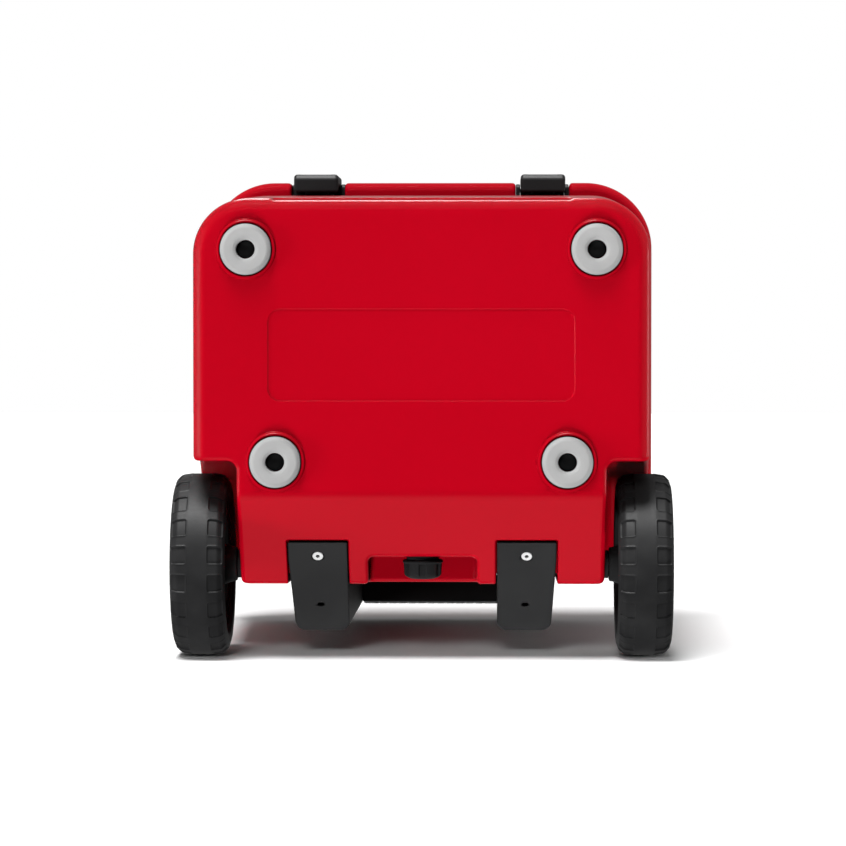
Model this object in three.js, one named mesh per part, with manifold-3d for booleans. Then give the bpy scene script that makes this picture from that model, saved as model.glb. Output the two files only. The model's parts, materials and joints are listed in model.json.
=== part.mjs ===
// A hard cooler on two wheels, standing upright on its four feet.
// Millimetres. +Z is up, the latched front faces -Y, the wheels and the telescoping
// handle are at the back (+Y), and +X is to the right of someone facing the front.
// The origin is on the floor, under the middle of the cooler's overall box.

import * as THREE from 'three';
import { mergeVertices } from 'three/addons/utils/BufferGeometryUtils.js';
import Module from 'manifold-3d';

const wasm = await Module();
wasm.setup();

// ---------------------------------------------------------------- driving sizes

const GAP = 0.3; // between pieces that touch
const FAR = 400; // cutters reach this far past the body

// Tub: outer walls lean outwards from the base to the rim
const BASE = { z: 9, half: 208.6, front: -192.9, rear: 161.6 };
const RIM = { z: 443, half: 220, front: -210.3, rear: 172.5 };
const TUB_CORNER = 55;
const BASE_EDGE = 12;
const SKIN = 4;
const FLOOR = { z: 70, half: 168, front: -150, rear: 119 };
const MOUTH = { z: 443, half: 182, front: -177, rear: 134.5 };
const MOUTH_CORNER = 34;

// Sloping facet under the back of the tub, and the hollows cut into it
const SLOPE = { y: 79.1, z: 9, angle: THREE.MathUtils.degToRad(36.6), wall: 36 };
const DRAIN_NOTCH = { half: 50, front: 136.7, top: 112 };
const LIFT_POCKET = { half: 137, depth: 20, low: 25, high: 60, lipSetback: 2.7 };
const BADGE = { half: 140, front: -92, rear: -8, depth: 1 };

// Wheels turn on stub axles in arched wells
const AXLE = { y: 145.5, z: 88, radius: 6.35, inner: 130, outer: 219 };
const WELL = { inner: 168.8, radius: 98.8, front: 46.7, wall: 34 };
const TYRE = { radius: 85, inner: 179.5, outer: 231, bore: 62.3 };
const WHEEL_RING = { bore: 56, radius: 62, inner: 184, outer: 226.5 };
const HUB = { bore: 9.4, radius: 16, flare: 24, inner: 173, outer: 226, cup: 20.3, cupFloor: 219.3 };
const SPOKE = { count: 6, width: 11, inner: 194, outer: 220, from: 18, to: 55 };

// Feet
const FOOT = { radius: 23.3, hole: 8.5, bossRadius: 26.8, bossZ: 5.5, pocketTop: 17, screw: 7.9 };
const FOOT_PLACES = {
  front_left: [-159.8, -146.3],
  front_right: [159.8, -146.3],
  rear_left: [-133.2, 47.5],
  rear_right: [133.2, 47.5],
};

// Handle columns up the back, tubes that lean back with them
const COLUMN = { inner: 69, outer: 124, front: 122.5, back: 209, backZ: 101, top: 465, wall: 3 };
const COLUMN_LEAN = 0.012;
const CHANNEL_DEPTH = 10; // of the tub's rear wall, for each column
const TONGUE = 12;
const COLUMN_FRONT_LOW = 154.8;
const COLUMN_SHOULDER = 441;
const COLUMN_SLOT = { x: 95.3, half: 2.9, front: 181.6, back: 184.6, top: 110 };
const COLUMN_SCREW_Y = 136.3;
const NECK_FRONT = 184;
const TUBE = { x: 96.5, y: 200, z: 465, lean: THREE.MathUtils.degToRad(1.5) };
const OUTER_TUBE = { width: 28, depth: 18, low: -340, high: 4 };
const INNER_TUBE = { width: 24, depth: 14, low: -335, high: 18.7 };
const TUBE_WALL = 1.5;
const GRIP = { half: 114, front: 186, back: 213, low: 474, high: 503 };
const GRIP_COVER = { half: 70, front: 184.5, back: 213.5, low: 476.5, high: 503 };
const BUTTON = { half: 13, front: 192.3, back: 209, low: 495.8, high: 505 };
const YOKE = { y: 200.65, z: 493, radius: 2.5, bottom: 160 };
// The button's spring, drawn as short as it is when the button is pressed
const BUTTON_SPRING = { radius: 3.4, wire: 0.55, turns: 3, low: 482.9, rise: 3.9 };

// Lid, its hinges and its latches
const LID = { low: 445, high: 497, half: 228, front: -223.5, rear: 178, corner: 68, edge: 8 };
const LID_PLUG = { half: 176, front: -169, rear: 126, low: 437, corner: 30 };
const HINGE = { y: 165, z: 485, inner: 140, outer: 170, barrel: 9, pin: 4 };
const HINGE_NOTCH = { front: 150, side: 1 };
const HINGE_BLOCK = { inner: 124, outer: 186, front: 136 };
const LID_PANEL = { half: 178, front: -172, rear: 112, corner: 40, depth: 2 };
const LID_PORT = { y: 95, radius: 10 };
const SEAL_LINE = { half: 201, front: -196, rear: 142.5, corner: 44, width: 8, top: 449 };
const LATCH = { x: 115.5, width: 45.4, front: -230.5, low: 402, axisY: -217, axisZ: 478 };
const LATCH_FOOT = { back: -212.3, high: 410 };
const LATCH_BEVEL = { depth: 4.5, height: 3.4 };
const LATCH_NOTCH = { width: 55, back: -203 };
const KEEPER = { width: 35, front: -211, back: -202.5, low: 412, high: 436 };
const KEEPER_LIP = { width: 23, front: -214.5, back: -205.5, low: 418, high: 427 };

// Drain
const DRAIN = { z: 80, bore: 9.5, sleeve: 12, flange: 19, plugGap: 3.9, plugEnd: 158.7, lobes: 6 };

const FILL_PORT = { x: -96.5, z: 250, radius: 12 };
const SIDES = { left: -1, right: 1 };

// ---------------------------------------------------------------- shape helpers

// A closed mesh as a solid, its faces turned outwards
function toSolid(geometry) {
  const bare = geometry.clone();
  bare.deleteAttribute('normal');
  bare.deleteAttribute('uv');
  const welded = mergeVertices(bare, 1e-4);
  const points = welded.attributes.position.array;
  const corners = welded.index.array;
  const triangles = [];
  let volume = 0;
  for (let i = 0; i < corners.length; i += 3) {
    const [a, b, c] = [corners[i], corners[i + 1], corners[i + 2]];
    if (a === b || b === c || c === a) continue;
    triangles.push([a, b, c]);
    const [p, q, r] = [a, b, c].map((n) => new THREE.Vector3().fromArray(points, 3 * n));
    volume += p.dot(q.cross(r));
  }
  const faced = volume < 0 ? triangles.map(([a, b, c]) => [a, c, b]) : triangles;
  return new wasm.Manifold(new wasm.Mesh({
    numProp: 3,
    vertProperties: new Float32Array(points),
    triVerts: new Uint32Array(faced.flat()),
  }));
}

function toGeometry(solid) {
  const mesh = solid.getMesh();
  const geometry = new THREE.BufferGeometry();
  geometry.setAttribute('position', new THREE.BufferAttribute(mesh.vertProperties, 3));
  geometry.setIndex(new THREE.BufferAttribute(mesh.triVerts, 1));
  geometry.computeVertexNormals();
  return geometry;
}

function union(first, ...rest) {
  return rest.reduce((sum, next) => sum.add(next), first);
}

function cut(first, ...rest) {
  return rest.reduce((sum, next) => sum.subtract(next), first);
}

function block([x0, x1], [y0, y1], [z0, z1]) {
  const geometry = new THREE.BoxGeometry(Math.abs(x1 - x0), y1 - y0, z1 - z0);
  geometry.translate((x0 + x1) / 2, (y0 + y1) / 2, (z0 + z1) / 2);
  return toSolid(geometry);
}

// The stretch from |x| = a to |x| = b on one side of the middle
const sideways = (side, a, b) => (side > 0 ? [a, b] : [-b, -a]);

// A cylinder about an axis, between two places along it
function rod(axis, centre, radius, from, to, sides = 16) {
  const geometry = new THREE.CylinderGeometry(radius, radius, to - from, sides);
  geometry.translate(0, (from + to) / 2, 0);
  if (axis === 'x') {
    geometry.rotateZ(-Math.PI / 2);
    geometry.translate(0, centre[0], centre[1]);
  } else if (axis === 'y') {
    geometry.translate(centre[0], 0, centre[1]);
  } else {
    geometry.rotateX(Math.PI / 2);
    geometry.translate(centre[0], centre[1], 0);
  }
  return toSolid(geometry);
}

// A turned piece: [radius, height] points about +Z, or about X on one side of the cooler
function turned(profile, sides = 16) {
  const points = profile.map(([radius, height]) => new THREE.Vector2(radius, height));
  return new THREE.LatheGeometry(points, sides);
}

function turnedUp(profile, [x, y], sides = 16) {
  const geometry = turned(profile, sides);
  geometry.rotateX(Math.PI / 2);
  geometry.translate(x, y, 0);
  return toSolid(geometry);
}

function turnedOnAxle(profile, side, sides = 16) {
  const geometry = turned(profile.map(([radius, x]) => [radius, side * x]), sides);
  geometry.rotateZ(-Math.PI / 2);
  geometry.translate(0, AXLE.y, AXLE.z);
  return toSolid(geometry);
}

function roundedRectangle([x0, x1], [y0, y1], radius) {
  const shape = new THREE.Shape();
  const quarter = Math.PI / 2;
  shape.absarc(x1 - radius, y0 + radius, radius, -quarter, 0, false);
  shape.absarc(x1 - radius, y1 - radius, radius, 0, quarter, false);
  shape.absarc(x0 + radius, y1 - radius, radius, quarter, 2 * quarter, false);
  shape.absarc(x0 + radius, y0 + radius, radius, 2 * quarter, 3 * quarter, false);
  shape.closePath();
  return shape;
}

function prismGeometry(shape, [z0, z1], edge = 0, roundness = 2) {
  const geometry = new THREE.ExtrudeGeometry(shape, {
    depth: z1 - z0 - 2 * edge,
    bevelEnabled: edge > 0,
    bevelThickness: edge,
    bevelSize: edge,
    bevelOffset: -edge,
    bevelSegments: 2,
    curveSegments: roundness,
  });
  geometry.translate(0, 0, z0 + edge);
  return geometry;
}

const prism = (shape, heights, edge, roundness) =>
  toSolid(prismGeometry(shape, heights, edge, roundness));

// A [y, z] outline drawn across the cooler, from x0 to x1
function across(outline, [x0, x1]) {
  const shape = new THREE.Shape(outline.map(([y, z]) => new THREE.Vector2(y, z)));
  const geometry = prismGeometry(shape, [x0, x1]);
  const axes = new THREE.Matrix4().makeBasis(
    new THREE.Vector3(0, 1, 0),
    new THREE.Vector3(0, 0, 1),
    new THREE.Vector3(1, 0, 0),
  );
  return toSolid(geometry.applyMatrix4(axes));
}

// A box with rounded upright corners whose walls lean from the low outline to the high one
function leaningBox(low, high, corner, edge) {
  const shape = roundedRectangle([-high.half, high.half], [high.front, high.rear], corner);
  const geometry = prismGeometry(shape, [low.z, high.z + edge], edge);
  const at = geometry.attributes.position;
  const mix = THREE.MathUtils.lerp;
  for (let i = 0; i < at.count; i += 1) {
    const t = (at.getZ(i) - low.z) / (high.z - low.z);
    const front = mix(low.front, high.front, t);
    const rear = mix(low.rear, high.rear, t);
    const along = (at.getY(i) - high.front) / (high.rear - high.front);
    at.setX(i, at.getX(i) * mix(low.half, high.half, t) / high.half);
    at.setY(i, mix(front, rear, along));
  }
  const above = block([-FAR, FAR], [-FAR, FAR], [high.z, high.z + FAR]);
  return toSolid(geometry).subtract(above);
}

const inset = (box, by) => ({
  z: box.z,
  half: box.half - by,
  front: box.front + by,
  rear: box.rear - by,
});

// ---------------------------------------------------------------- tub

const slopeTan = Math.tan(SLOPE.angle);
const slopeCos = Math.cos(SLOPE.angle);
const slopeSin = Math.sin(SLOPE.angle);
const slopeZ = (y) => SLOPE.z + (y - SLOPE.y) * slopeTan;
const rearWall = (z) => BASE.rear + ((RIM.rear - BASE.rear) * (z - BASE.z)) / (RIM.z - BASE.z);

// Everything under the sloping facet, or under a plane parallel to it and higher by `rise`
function belowSlope(rise) {
  const lift = rise / slopeCos;
  const near = SLOPE.y - FAR / 2;
  const far = SLOPE.y + FAR;
  const outline = [
    [near, slopeZ(near) + lift],
    [far, slopeZ(near) + lift],
    [far, slopeZ(far) + lift],
  ];
  return across(outline, [-FAR, FAR]);
}

function wheelWell(side, grow) {
  const reach = sideways(side, WELL.inner - grow, FAR);
  const arch = rod('x', [AXLE.y, AXLE.z], WELL.radius + grow, ...reach, 32);
  return arch.add(block(reach, [WELL.front - grow, FAR], [-FAR, AXLE.z]));
}

// The shallow channel that a handle column stands in, with its foot under the facet
function columnRecess(side, grow) {
  const front = COLUMN.front - 2 - grow;
  const depth = CHANNEL_DEPTH + grow;
  const lift = (TONGUE + 1 + grow) / slopeCos;
  const wallFoot = rearWall(AXLE.z) - depth;
  const outline = [
    [front, -FAR],
    [front, slopeZ(front) + lift],
    [wallFoot, slopeZ(wallFoot) + lift],
    [rearWall(FAR) - depth + 3, FAR + 100],
    [FAR, FAR + 100],
    [FAR, -FAR],
  ];
  return across(outline, sideways(side, COLUMN.inner - 1 - grow, COLUMN.outer + 1 + grow));
}

function keeperPocket(side, grow) {
  const half = KEEPER.width / 2 + 0.5 + grow;
  const middle = side * LATCH.x;
  return block(
    [middle - half, middle + half],
    [-FAR, KEEPER.back + 0.5 + grow],
    [KEEPER.low - 0.5 - grow, KEEPER.high + 0.5 + grow],
  );
}

function hingePocket(side, grow) {
  return block(
    sideways(side, HINGE.inner - 0.5 - grow, HINGE.outer + 0.5 + grow),
    [152.5 - grow, FAR],
    [398 - grow, FAR + 100],
  );
}

function liftPocket(grow) {
  const { half, depth, low, high, lipSetback } = LIFT_POCKET;
  const width = [-half - grow, half + grow];
  const wall = BASE.front - 1.5;
  const pocket = block(width, [-FAR, wall + depth + grow], [low - grow, high + grow]);
  const lip = block(width, [-FAR, wall + lipSetback + grow], [-FAR, high]);
  return pocket.add(lip);
}

// The tub's outside, drawn in by `by` all over
function tubOutside(by) {
  const low = { ...inset(BASE, by), z: BASE.z + by };
  const high = { ...inset(RIM, by), z: RIM.z - by };
  const notch = block(
    [-DRAIN_NOTCH.half - by, DRAIN_NOTCH.half + by],
    [DRAIN_NOTCH.front - by, FAR],
    [-FAR, DRAIN_NOTCH.top + by],
  );
  const sides = Object.values(SIDES);
  return cut(
    leaningBox(low, high, TUB_CORNER - by, BASE_EDGE - by / 2),
    belowSlope(by),
    notch,
    liftPocket(by),
    ...sides.map((side) => wheelWell(side, by)),
    ...sides.map((side) => columnRecess(side, by)),
    ...sides.map((side) => keeperPocket(side, by)),
    ...sides.map((side) => hingePocket(side, by)),
  );
}

// The space that holds the ice and food, grown by `by` all over
function tubInside(by) {
  const low = { ...inset(FLOOR, -by), z: FLOOR.z - by };
  const high = { ...inset(MOUTH, -by), z: MOUTH.z + 10 };
  const space = leaningBox(low, high, MOUTH_CORNER + by, 8);
  const radius = WELL.radius + WELL.wall - by;
  const humps = Object.values(SIDES).map((side) => {
    const reach = sideways(side, WELL.inner - WELL.wall + by, FAR);
    const arch = rod('x', [AXLE.y, AXLE.z], radius, ...reach, 24);
    return arch.add(block(reach, [AXLE.y - radius, FAR], [-FAR, AXLE.z]));
  });
  return cut(space, belowSlope(SLOPE.wall - by), ...humps);
}

// A cylinder square to the sloping facet, from `from` to `to` above it
function rodIntoSlope(x, y, radius, from, to) {
  const geometry = new THREE.CylinderGeometry(radius, radius, to - from, 12);
  geometry.translate(0, (from + to) / 2, 0);
  geometry.rotateX(Math.PI / 2 + SLOPE.angle);
  geometry.translate(x, y, slopeZ(y));
  return toSolid(geometry);
}

// Where the plastic is solid for a fastener or a bore, so the foam stays out
function solidZones(grow) {
  const feet = Object.values(FOOT_PLACES).flatMap((place) => [
    rod('z', place, FOOT.bossRadius + 2 + grow, -20, FOOT.pocketTop + SKIN + grow),
    rod('z', place, 9 + grow, 0, 42 + grow, 10),
  ]);
  const perSide = Object.values(SIDES).flatMap((side) => [
    rod('x', [AXLE.y, AXLE.z], 15 + grow, ...sideways(side, 122 - grow, FAR)),
    rodIntoSlope(side * TUBE.x, COLUMN_SCREW_Y, 6 + grow, 0, 27 + grow),
  ]);
  const drain = rod('y', [0, DRAIN.z], DRAIN.sleeve + 3 + grow, 60, FAR);
  return union(drain, ...feet, ...perSide);
}

// The space between the two skins
function foamSpace(shrink) {
  const depth = SKIN + shrink;
  return cut(tubOutside(depth), tubInside(depth), solidZones(shrink));
}

function tubShell() {
  const bosses = Object.values(FOOT_PLACES).map((place) =>
    turnedUp([[0, FOOT.bossZ], [FOOT.bossRadius - 2, FOOT.bossZ], [FOOT.bossRadius, FOOT.bossZ + 2],
      [FOOT.bossRadius, 14], [0, 14]], place));
  const footHoles = Object.values(FOOT_PLACES).flatMap((place) => [
    rod('z', place, FOOT.radius + 0.8, -20, FOOT.pocketTop),
    rod('z', place, 4.3, 0, 40, 12),
  ]);
  const perSide = Object.values(SIDES).flatMap((side) => [
    rod('x', [AXLE.y, AXLE.z], AXLE.radius + GAP, ...sideways(side, AXLE.inner - 1, FAR)),
    rodIntoSlope(side * TUBE.x, COLUMN_SCREW_Y, 2.8, 0, 24),
  ]);
  const badge = prism(
    roundedRectangle([-BADGE.half, BADGE.half], [BADGE.front, BADGE.rear], 12),
    [BASE.z - 5, BASE.z + BADGE.depth],
  );
  return cut(
    union(tubOutside(0), ...bosses),
    tubInside(0),
    foamSpace(0),
    badge,
    rod('y', [0, DRAIN.z], DRAIN.sleeve + GAP, 60, FAR, 20),
    rod('y', [FILL_PORT.x, FILL_PORT.z], FILL_PORT.radius, 140, FAR),
    ...footHoles,
    ...perSide,
  );
}

function tubFillPlug() {
  const wall = rearWall(FILL_PORT.z) - CHANNEL_DEPTH;
  return rod('y', [FILL_PORT.x, FILL_PORT.z], FILL_PORT.radius - GAP, wall - 3, wall + 0.6);
}

// ---------------------------------------------------------------- feet

function foot(place) {
  const top = FOOT.pocketTop - GAP;
  const web = 13.7;
  return turnedUp([
    [FOOT.hole, 2], [FOOT.hole + 2, 0], [FOOT.radius - 3, 0], [FOOT.radius, 3],
    [FOOT.radius, top], [4.6, top], [4.6, web], [FOOT.hole, web], [FOOT.hole, 2],
  ], place);
}

function footScrew(place) {
  return turnedUp([
    [0, 10.2], [FOOT.screw, 10.2], [FOOT.screw, 13.4], [4, 13.4], [4, 38], [0, 38],
  ], place, 12);
}

// ---------------------------------------------------------------- wheels

function tyre(side) {
  const { radius, inner, outer, bore } = TYRE;
  return turnedOnAxle([
    [bore, inner + 4], [70, inner], [77.5, inner + 0.8], [83, inner + 7], [radius, inner + 18],
    [radius, outer - 18], [83, outer - 7], [77.5, outer - 0.8], [70, outer], [bore, outer - 4],
    [bore, inner + 4],
  ], side, 24);
}

// The ring that carries the tyre
function wheelRim(side) {
  const { bore, radius, inner, outer } = WHEEL_RING;
  return turnedOnAxle([
    [bore, inner + 2], [radius, inner], [radius, outer], [bore, outer - 2], [bore, inner + 2],
  ], side, 24);
}

// The hub and its spokes, which hold the ring
function wheelSpider(side) {
  const { bore, radius, flare, inner, outer, cup, cupFloor } = HUB;
  const hub = turnedOnAxle([
    [bore, inner], [radius, inner], [radius + 2, inner + 17], [flare, inner + 27], [flare, outer],
    [cup, outer], [cup, cupFloor], [bore, cupFloor], [bore, inner],
  ], side);
  const spokes = [];
  for (let i = 0; i < SPOKE.count; i += 1) {
    const [from, to] = sideways(side, SPOKE.inner, SPOKE.outer);
    const spoke = new THREE.BoxGeometry(to - from, SPOKE.width, SPOKE.to - SPOKE.from);
    spoke.translate((from + to) / 2, 0, (SPOKE.to + SPOKE.from) / 2);
    spoke.rotateX((i * 2 * Math.PI) / SPOKE.count);
    spoke.translate(0, AXLE.y, AXLE.z);
    spokes.push(toSolid(spoke));
  }
  return union(hub, ...spokes);
}

function wheelBearing(side) {
  const bore = AXLE.radius + 0.35;
  return turnedOnAxle([[bore, 173.3], [9.1, 173.3], [9.1, 218.7], [bore, 218.7], [bore, 173.3]],
    side);
}

function hubCap(side) {
  return turnedOnAxle([
    [0, 223.6], [20, 223.6], [20, 226], [15, 229], [0, 229],
  ], side);
}

function axle(side) {
  return turnedOnAxle([
    [0, AXLE.inner], [AXLE.radius, AXLE.inner], [AXLE.radius, AXLE.outer + 0.5],
    [12, AXLE.outer + 0.5], [12, 223], [0, 223],
  ], side, 16);
}

function axleSpacer(side) {
  const bore = AXLE.radius + 0.35;
  const from = WELL.inner + GAP;
  return turnedOnAxle([[bore, from], [13, from], [13, 172.6], [bore, 172.6], [bore, from]], side);
}

// ---------------------------------------------------------------- handle

// Turns a piece drawn about the origin so that it leans with the tubes of one side
function onTube(geometry, side) {
  geometry.rotateX(-TUBE.lean);
  geometry.translate(side * TUBE.x, TUBE.y, TUBE.z);
  return toSolid(geometry);
}

function tubeSection(width, depth, round = depth / 2 - 0.01) {
  return roundedRectangle([-width / 2, width / 2], [-depth / 2, depth / 2], round);
}

function tubeBar(width, depth, [low, high], side) {
  return onTube(prismGeometry(tubeSection(width, depth), [low, high]), side);
}

function tube(size, side) {
  const outside = tubeBar(size.width, size.depth, [size.low, size.high], side);
  const wall = 2 * TUBE_WALL;
  const bore = tubeBar(size.width - wall, size.depth - wall, [size.low - 5, size.high + 5], side);
  return outside.subtract(bore);
}

// An upright bar whose outline is the column's plan, leaning back with height
function columnPlan(side, wall) {
  const inner = COLUMN.inner + wall;
  const outer = COLUMN.outer - wall;
  const back = COLUMN.back - wall;
  const round = 9 - wall;
  const taper = 3.6;
  const plan = new THREE.Shape();
  plan.moveTo(side * inner, 60);
  plan.lineTo(side * outer, 60);
  plan.lineTo(side * outer, 140);
  plan.lineTo(side * (outer - taper), back - round);
  for (let i = 1; i <= 4; i += 1) {
    const turn = (i * Math.PI) / 8;
    plan.lineTo(side * (outer - taper - round * (1 - Math.cos(turn))),
      back - round * (1 - Math.sin(turn)));
  }
  for (let i = 0; i <= 4; i += 1) {
    const turn = (i * Math.PI) / 8;
    plan.lineTo(side * (inner + round * (1 - Math.sin(turn))),
      back - round * (1 - Math.cos(turn)));
  }
  plan.closePath();
  const geometry = prismGeometry(plan, [0, COLUMN.top]);
  const at = geometry.attributes.position;
  for (let i = 0; i < at.count; i += 1) {
    at.setY(i, at.getY(i) + (at.getZ(i) - COLUMN.backZ) * COLUMN_LEAN);
  }
  return toSolid(geometry);
}

function column(side) {
  const shoulder = COLUMN_FRONT_LOW + (COLUMN_SHOULDER - 80) * 0.0235;
  const tongueTop = TONGUE / slopeCos;
  const profile = across([
    [COLUMN.front, slopeZ(COLUMN.front)],
    [FAR, slopeZ(FAR)],
    [FAR, COLUMN.top],
    [NECK_FRONT, COLUMN.top],
    [NECK_FRONT, COLUMN_SHOULDER],
    [shoulder, COLUMN_SHOULDER],
    [COLUMN_FRONT_LOW, slopeZ(COLUMN_FRONT_LOW) + tongueTop],
    [COLUMN.front, slopeZ(COLUMN.front) + tongueTop],
  ], sideways(side, COLUMN.inner - 5, COLUMN.outer + 5));
  const wall = COLUMN.wall;
  const hollow = across([
    [COLUMN_FRONT_LOW + wall, slopeZ(COLUMN_FRONT_LOW + wall) + 4.5],
    [FAR, slopeZ(FAR) + 4.5],
    [FAR, COLUMN_SHOULDER - wall],
    [shoulder + wall, COLUMN_SHOULDER - wall],
  ], sideways(side, COLUMN.inner - 5, COLUMN.outer + 5)).intersect(columnPlan(side, wall));
  const { x, half, front, back, top } = COLUMN_SLOT;
  const slot = block([side * x - half, side * x + half], [front, back], [0, top]);
  const throat = tubeBar(OUTER_TUBE.width + 1, OUTER_TUBE.depth + 1, [-60, 20], side);
  return cut(
    profile.intersect(columnPlan(side, 0)),
    hollow,
    slot,
    throat,
    rodIntoSlope(side * TUBE.x, COLUMN_SCREW_Y, 2.8, -5, 20),
    rodIntoSlope(side * TUBE.x, COLUMN_SCREW_Y, 5.1, -5, 2.6),
  );
}

function columnScrew(side) {
  const head = rodIntoSlope(side * TUBE.x, COLUMN_SCREW_Y, 4.8, -0.4, 2.2);
  return head.add(rodIntoSlope(side * TUBE.x, COLUMN_SCREW_Y, 2.5, 0, 22));
}

// The cross member that ties the two columns together under the lid's back edge
function columnBridge() {
  const half = COLUMN.inner - GAP;
  return across([
    [173.5, 424], [206.5, 424], [208, 430], [209.4, 452], [NECK_FRONT, 452],
    [NECK_FRONT, COLUMN_SHOULDER], [173.5, COLUMN_SHOULDER],
  ], [-half, half]);
}

function tubeCollar(side) {
  const ring = tubeBar(36, 25, [0.4, 7.5], side);
  const seat = tubeBar(OUTER_TUBE.width + 2 * GAP, OUTER_TUBE.depth + 2 * GAP, [-5, 4.3], side);
  const throat = tubeBar(INNER_TUBE.width + 1, INNER_TUBE.depth + 1, [-5, 20], side);
  return cut(ring, seat, throat);
}

function gripCore() {
  const { half, front, back, low, high } = GRIP;
  const ends = Object.values(SIDES).map((side) => prism(
    roundedRectangle(sideways(side, half - 35, half), [front, back], 9), [low, high], 2));
  const beam = block([-half + 25, half - 25], [front + 2, back - 2], [479.3, 499.7]);
  const sockets = Object.values(SIDES).map((side) => tubeBar(
    INNER_TUBE.width + 2 * GAP, INNER_TUBE.depth + 2 * GAP, [-20, INNER_TUBE.high + 2], side));
  const yokeRun = block([-101, 101], [YOKE.y - 4, YOKE.y + 4], [484.5, 496.2]);
  const well = rod('z', [0, YOKE.y], 4.8, 482, 490);
  return cut(union(beam, ...ends), ...sockets, yokeRun, well, buttonHole(495.2, 0.4));
}

function buttonHole(low, clearance) {
  return block(
    [-BUTTON.half - clearance, BUTTON.half + clearance],
    [BUTTON.front - clearance, BUTTON.back + clearance],
    [low - 3, 520],
  );
}

function gripCover() {
  const { half, front, back, low, high } = GRIP_COVER;
  const section = roundedRectangle([front, back], [low, high], 5).getPoints(2);
  const sleeve = across(section.slice(0, -1).map((p) => [p.x, p.y]), [-half, half]);
  const bore = block(
    [-FAR, FAR],
    [GRIP.front + 2 - GAP, GRIP.back - 2 + GAP],
    [479.3 - GAP, 499.7 + GAP],
  );
  return cut(sleeve, bore, buttonHole(495.2, 0.6));
}

function releaseButton() {
  const { half, front, back, low, high } = BUTTON;
  return prism(roundedRectangle([-half, half], [front, back], 5), [low, high], 1.5);
}

// One bent bar: across inside the grip, and a leg down each inner tube
function releaseYoke() {
  const bar = rod('x', [YOKE.y, YOKE.z], YOKE.radius, -98.5, 98.5, 12);
  const legs = Object.values(SIDES).map((side) => {
    const length = YOKE.z - YOKE.bottom;
    const leg = new THREE.CylinderGeometry(YOKE.radius, YOKE.radius, length, 12);
    leg.rotateX(Math.PI / 2);
    leg.translate(0, 0, YOKE.z - TUBE.z - length / 2);
    return onTube(leg, side);
  });
  return union(bar, ...legs);
}

function buttonSpring() {
  const { radius, turns, low, rise } = BUTTON_SPRING;
  class Coil extends THREE.Curve {
    getPoint(t, target = new THREE.Vector3()) {
      const angle = t * 2 * Math.PI * turns;
      return target.set(radius * Math.cos(angle), YOKE.y + radius * Math.sin(angle), low + rise * t);
    }
  }
  const wire = new THREE.Shape();
  wire.absarc(0, 0, BUTTON_SPRING.wire, 0, 2 * Math.PI, false);
  return toSolid(new THREE.ExtrudeGeometry(wire, {
    extrudePath: new Coil(),
    steps: 7 * turns,
    curveSegments: 3,
    bevelEnabled: false,
  }));
}

// ---------------------------------------------------------------- lid

function hingeNotch(side, grow) {
  return block(
    sideways(side, HINGE.inner - HINGE_NOTCH.side - grow, HINGE.outer + HINGE_NOTCH.side + grow),
    [HINGE_NOTCH.front - grow, FAR],
    [0, FAR + 200],
  );
}

function latchNotch(side, grow) {
  const half = LATCH_NOTCH.width / 2 + grow;
  const middle = side * LATCH.x;
  return block([middle - half, middle + half], [-FAR, LATCH_NOTCH.back + grow], [0, FAR + 200]);
}

function lidOutside(by) {
  const { low, high, half, front, rear, corner, edge } = LID;
  const outline = roundedRectangle([-half + by, half - by], [front + by, rear - by], corner - by);
  return cut(
    prism(outline, [low + by, high - by], edge - by, 3),
    ...Object.values(SIDES).map((side) => hingeNotch(side, by)),
    ...Object.values(SIDES).map((side) => latchNotch(side, by)),
  );
}

function sealRing(width, [low, high]) {
  const { half, front, rear, corner } = SEAL_LINE;
  const ring = (out) =>
    roundedRectangle([-half - out, half + out], [front - out, rear + out], corner + out);
  const outside = prism(ring(width / 2), [low, high]);
  return outside.subtract(prism(ring(-width / 2), [low - 5, high + 5]));
}

function lidFoamSpace(shrink) {
  const depth = SKIN + shrink;
  const hinge = Object.values(SIDES).map((side) => block(
    sideways(side, HINGE_BLOCK.inner - shrink, HINGE_BLOCK.outer + shrink),
    [HINGE_BLOCK.front - shrink, FAR],
    [0, FAR + 200],
  ));
  const upper = cut(lidOutside(depth), block([-FAR, FAR], [-FAR, FAR], [0, 453 + shrink]));
  const { half, front, rear, low, corner } = LID_PLUG;
  const middle = prism(
    roundedRectangle([-half + depth + 4, half - depth - 4], [front + depth + 4, rear - depth - 4],
      corner - 8),
    [low + depth, 460],
  );
  return cut(union(upper, middle), ...hinge);
}

function lidShell() {
  const { half, front, rear, low, corner } = LID_PLUG;
  const plug = prism(roundedRectangle([-half, half], [front, rear], corner), [low, 450]);
  const panel = prism(
    roundedRectangle([-LID_PANEL.half, LID_PANEL.half], [LID_PANEL.front, LID_PANEL.rear],
      LID_PANEL.corner),
    [LID.high - LID_PANEL.depth, LID.high + 20],
  );
  const pins = Object.values(SIDES).map((side) =>
    rod('x', [HINGE.y, HINGE.z], HINGE.pin + GAP, ...sideways(side, 128, 182)));
  return cut(
    union(lidOutside(0), plug),
    lidFoamSpace(0),
    panel,
    sealRing(SEAL_LINE.width + 2 * GAP, [RIM.z - 3, SEAL_LINE.top + GAP]),
    rod('z', [0, LID_PORT.y], LID_PORT.radius, 400, 446),
    ...pins,
  );
}

function lidFillPlug() {
  const outer = LID_PLUG.low - 0.5;
  return rod('z', [0, LID_PORT.y], LID_PORT.radius - GAP, outer, outer + SKIN);
}

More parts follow.
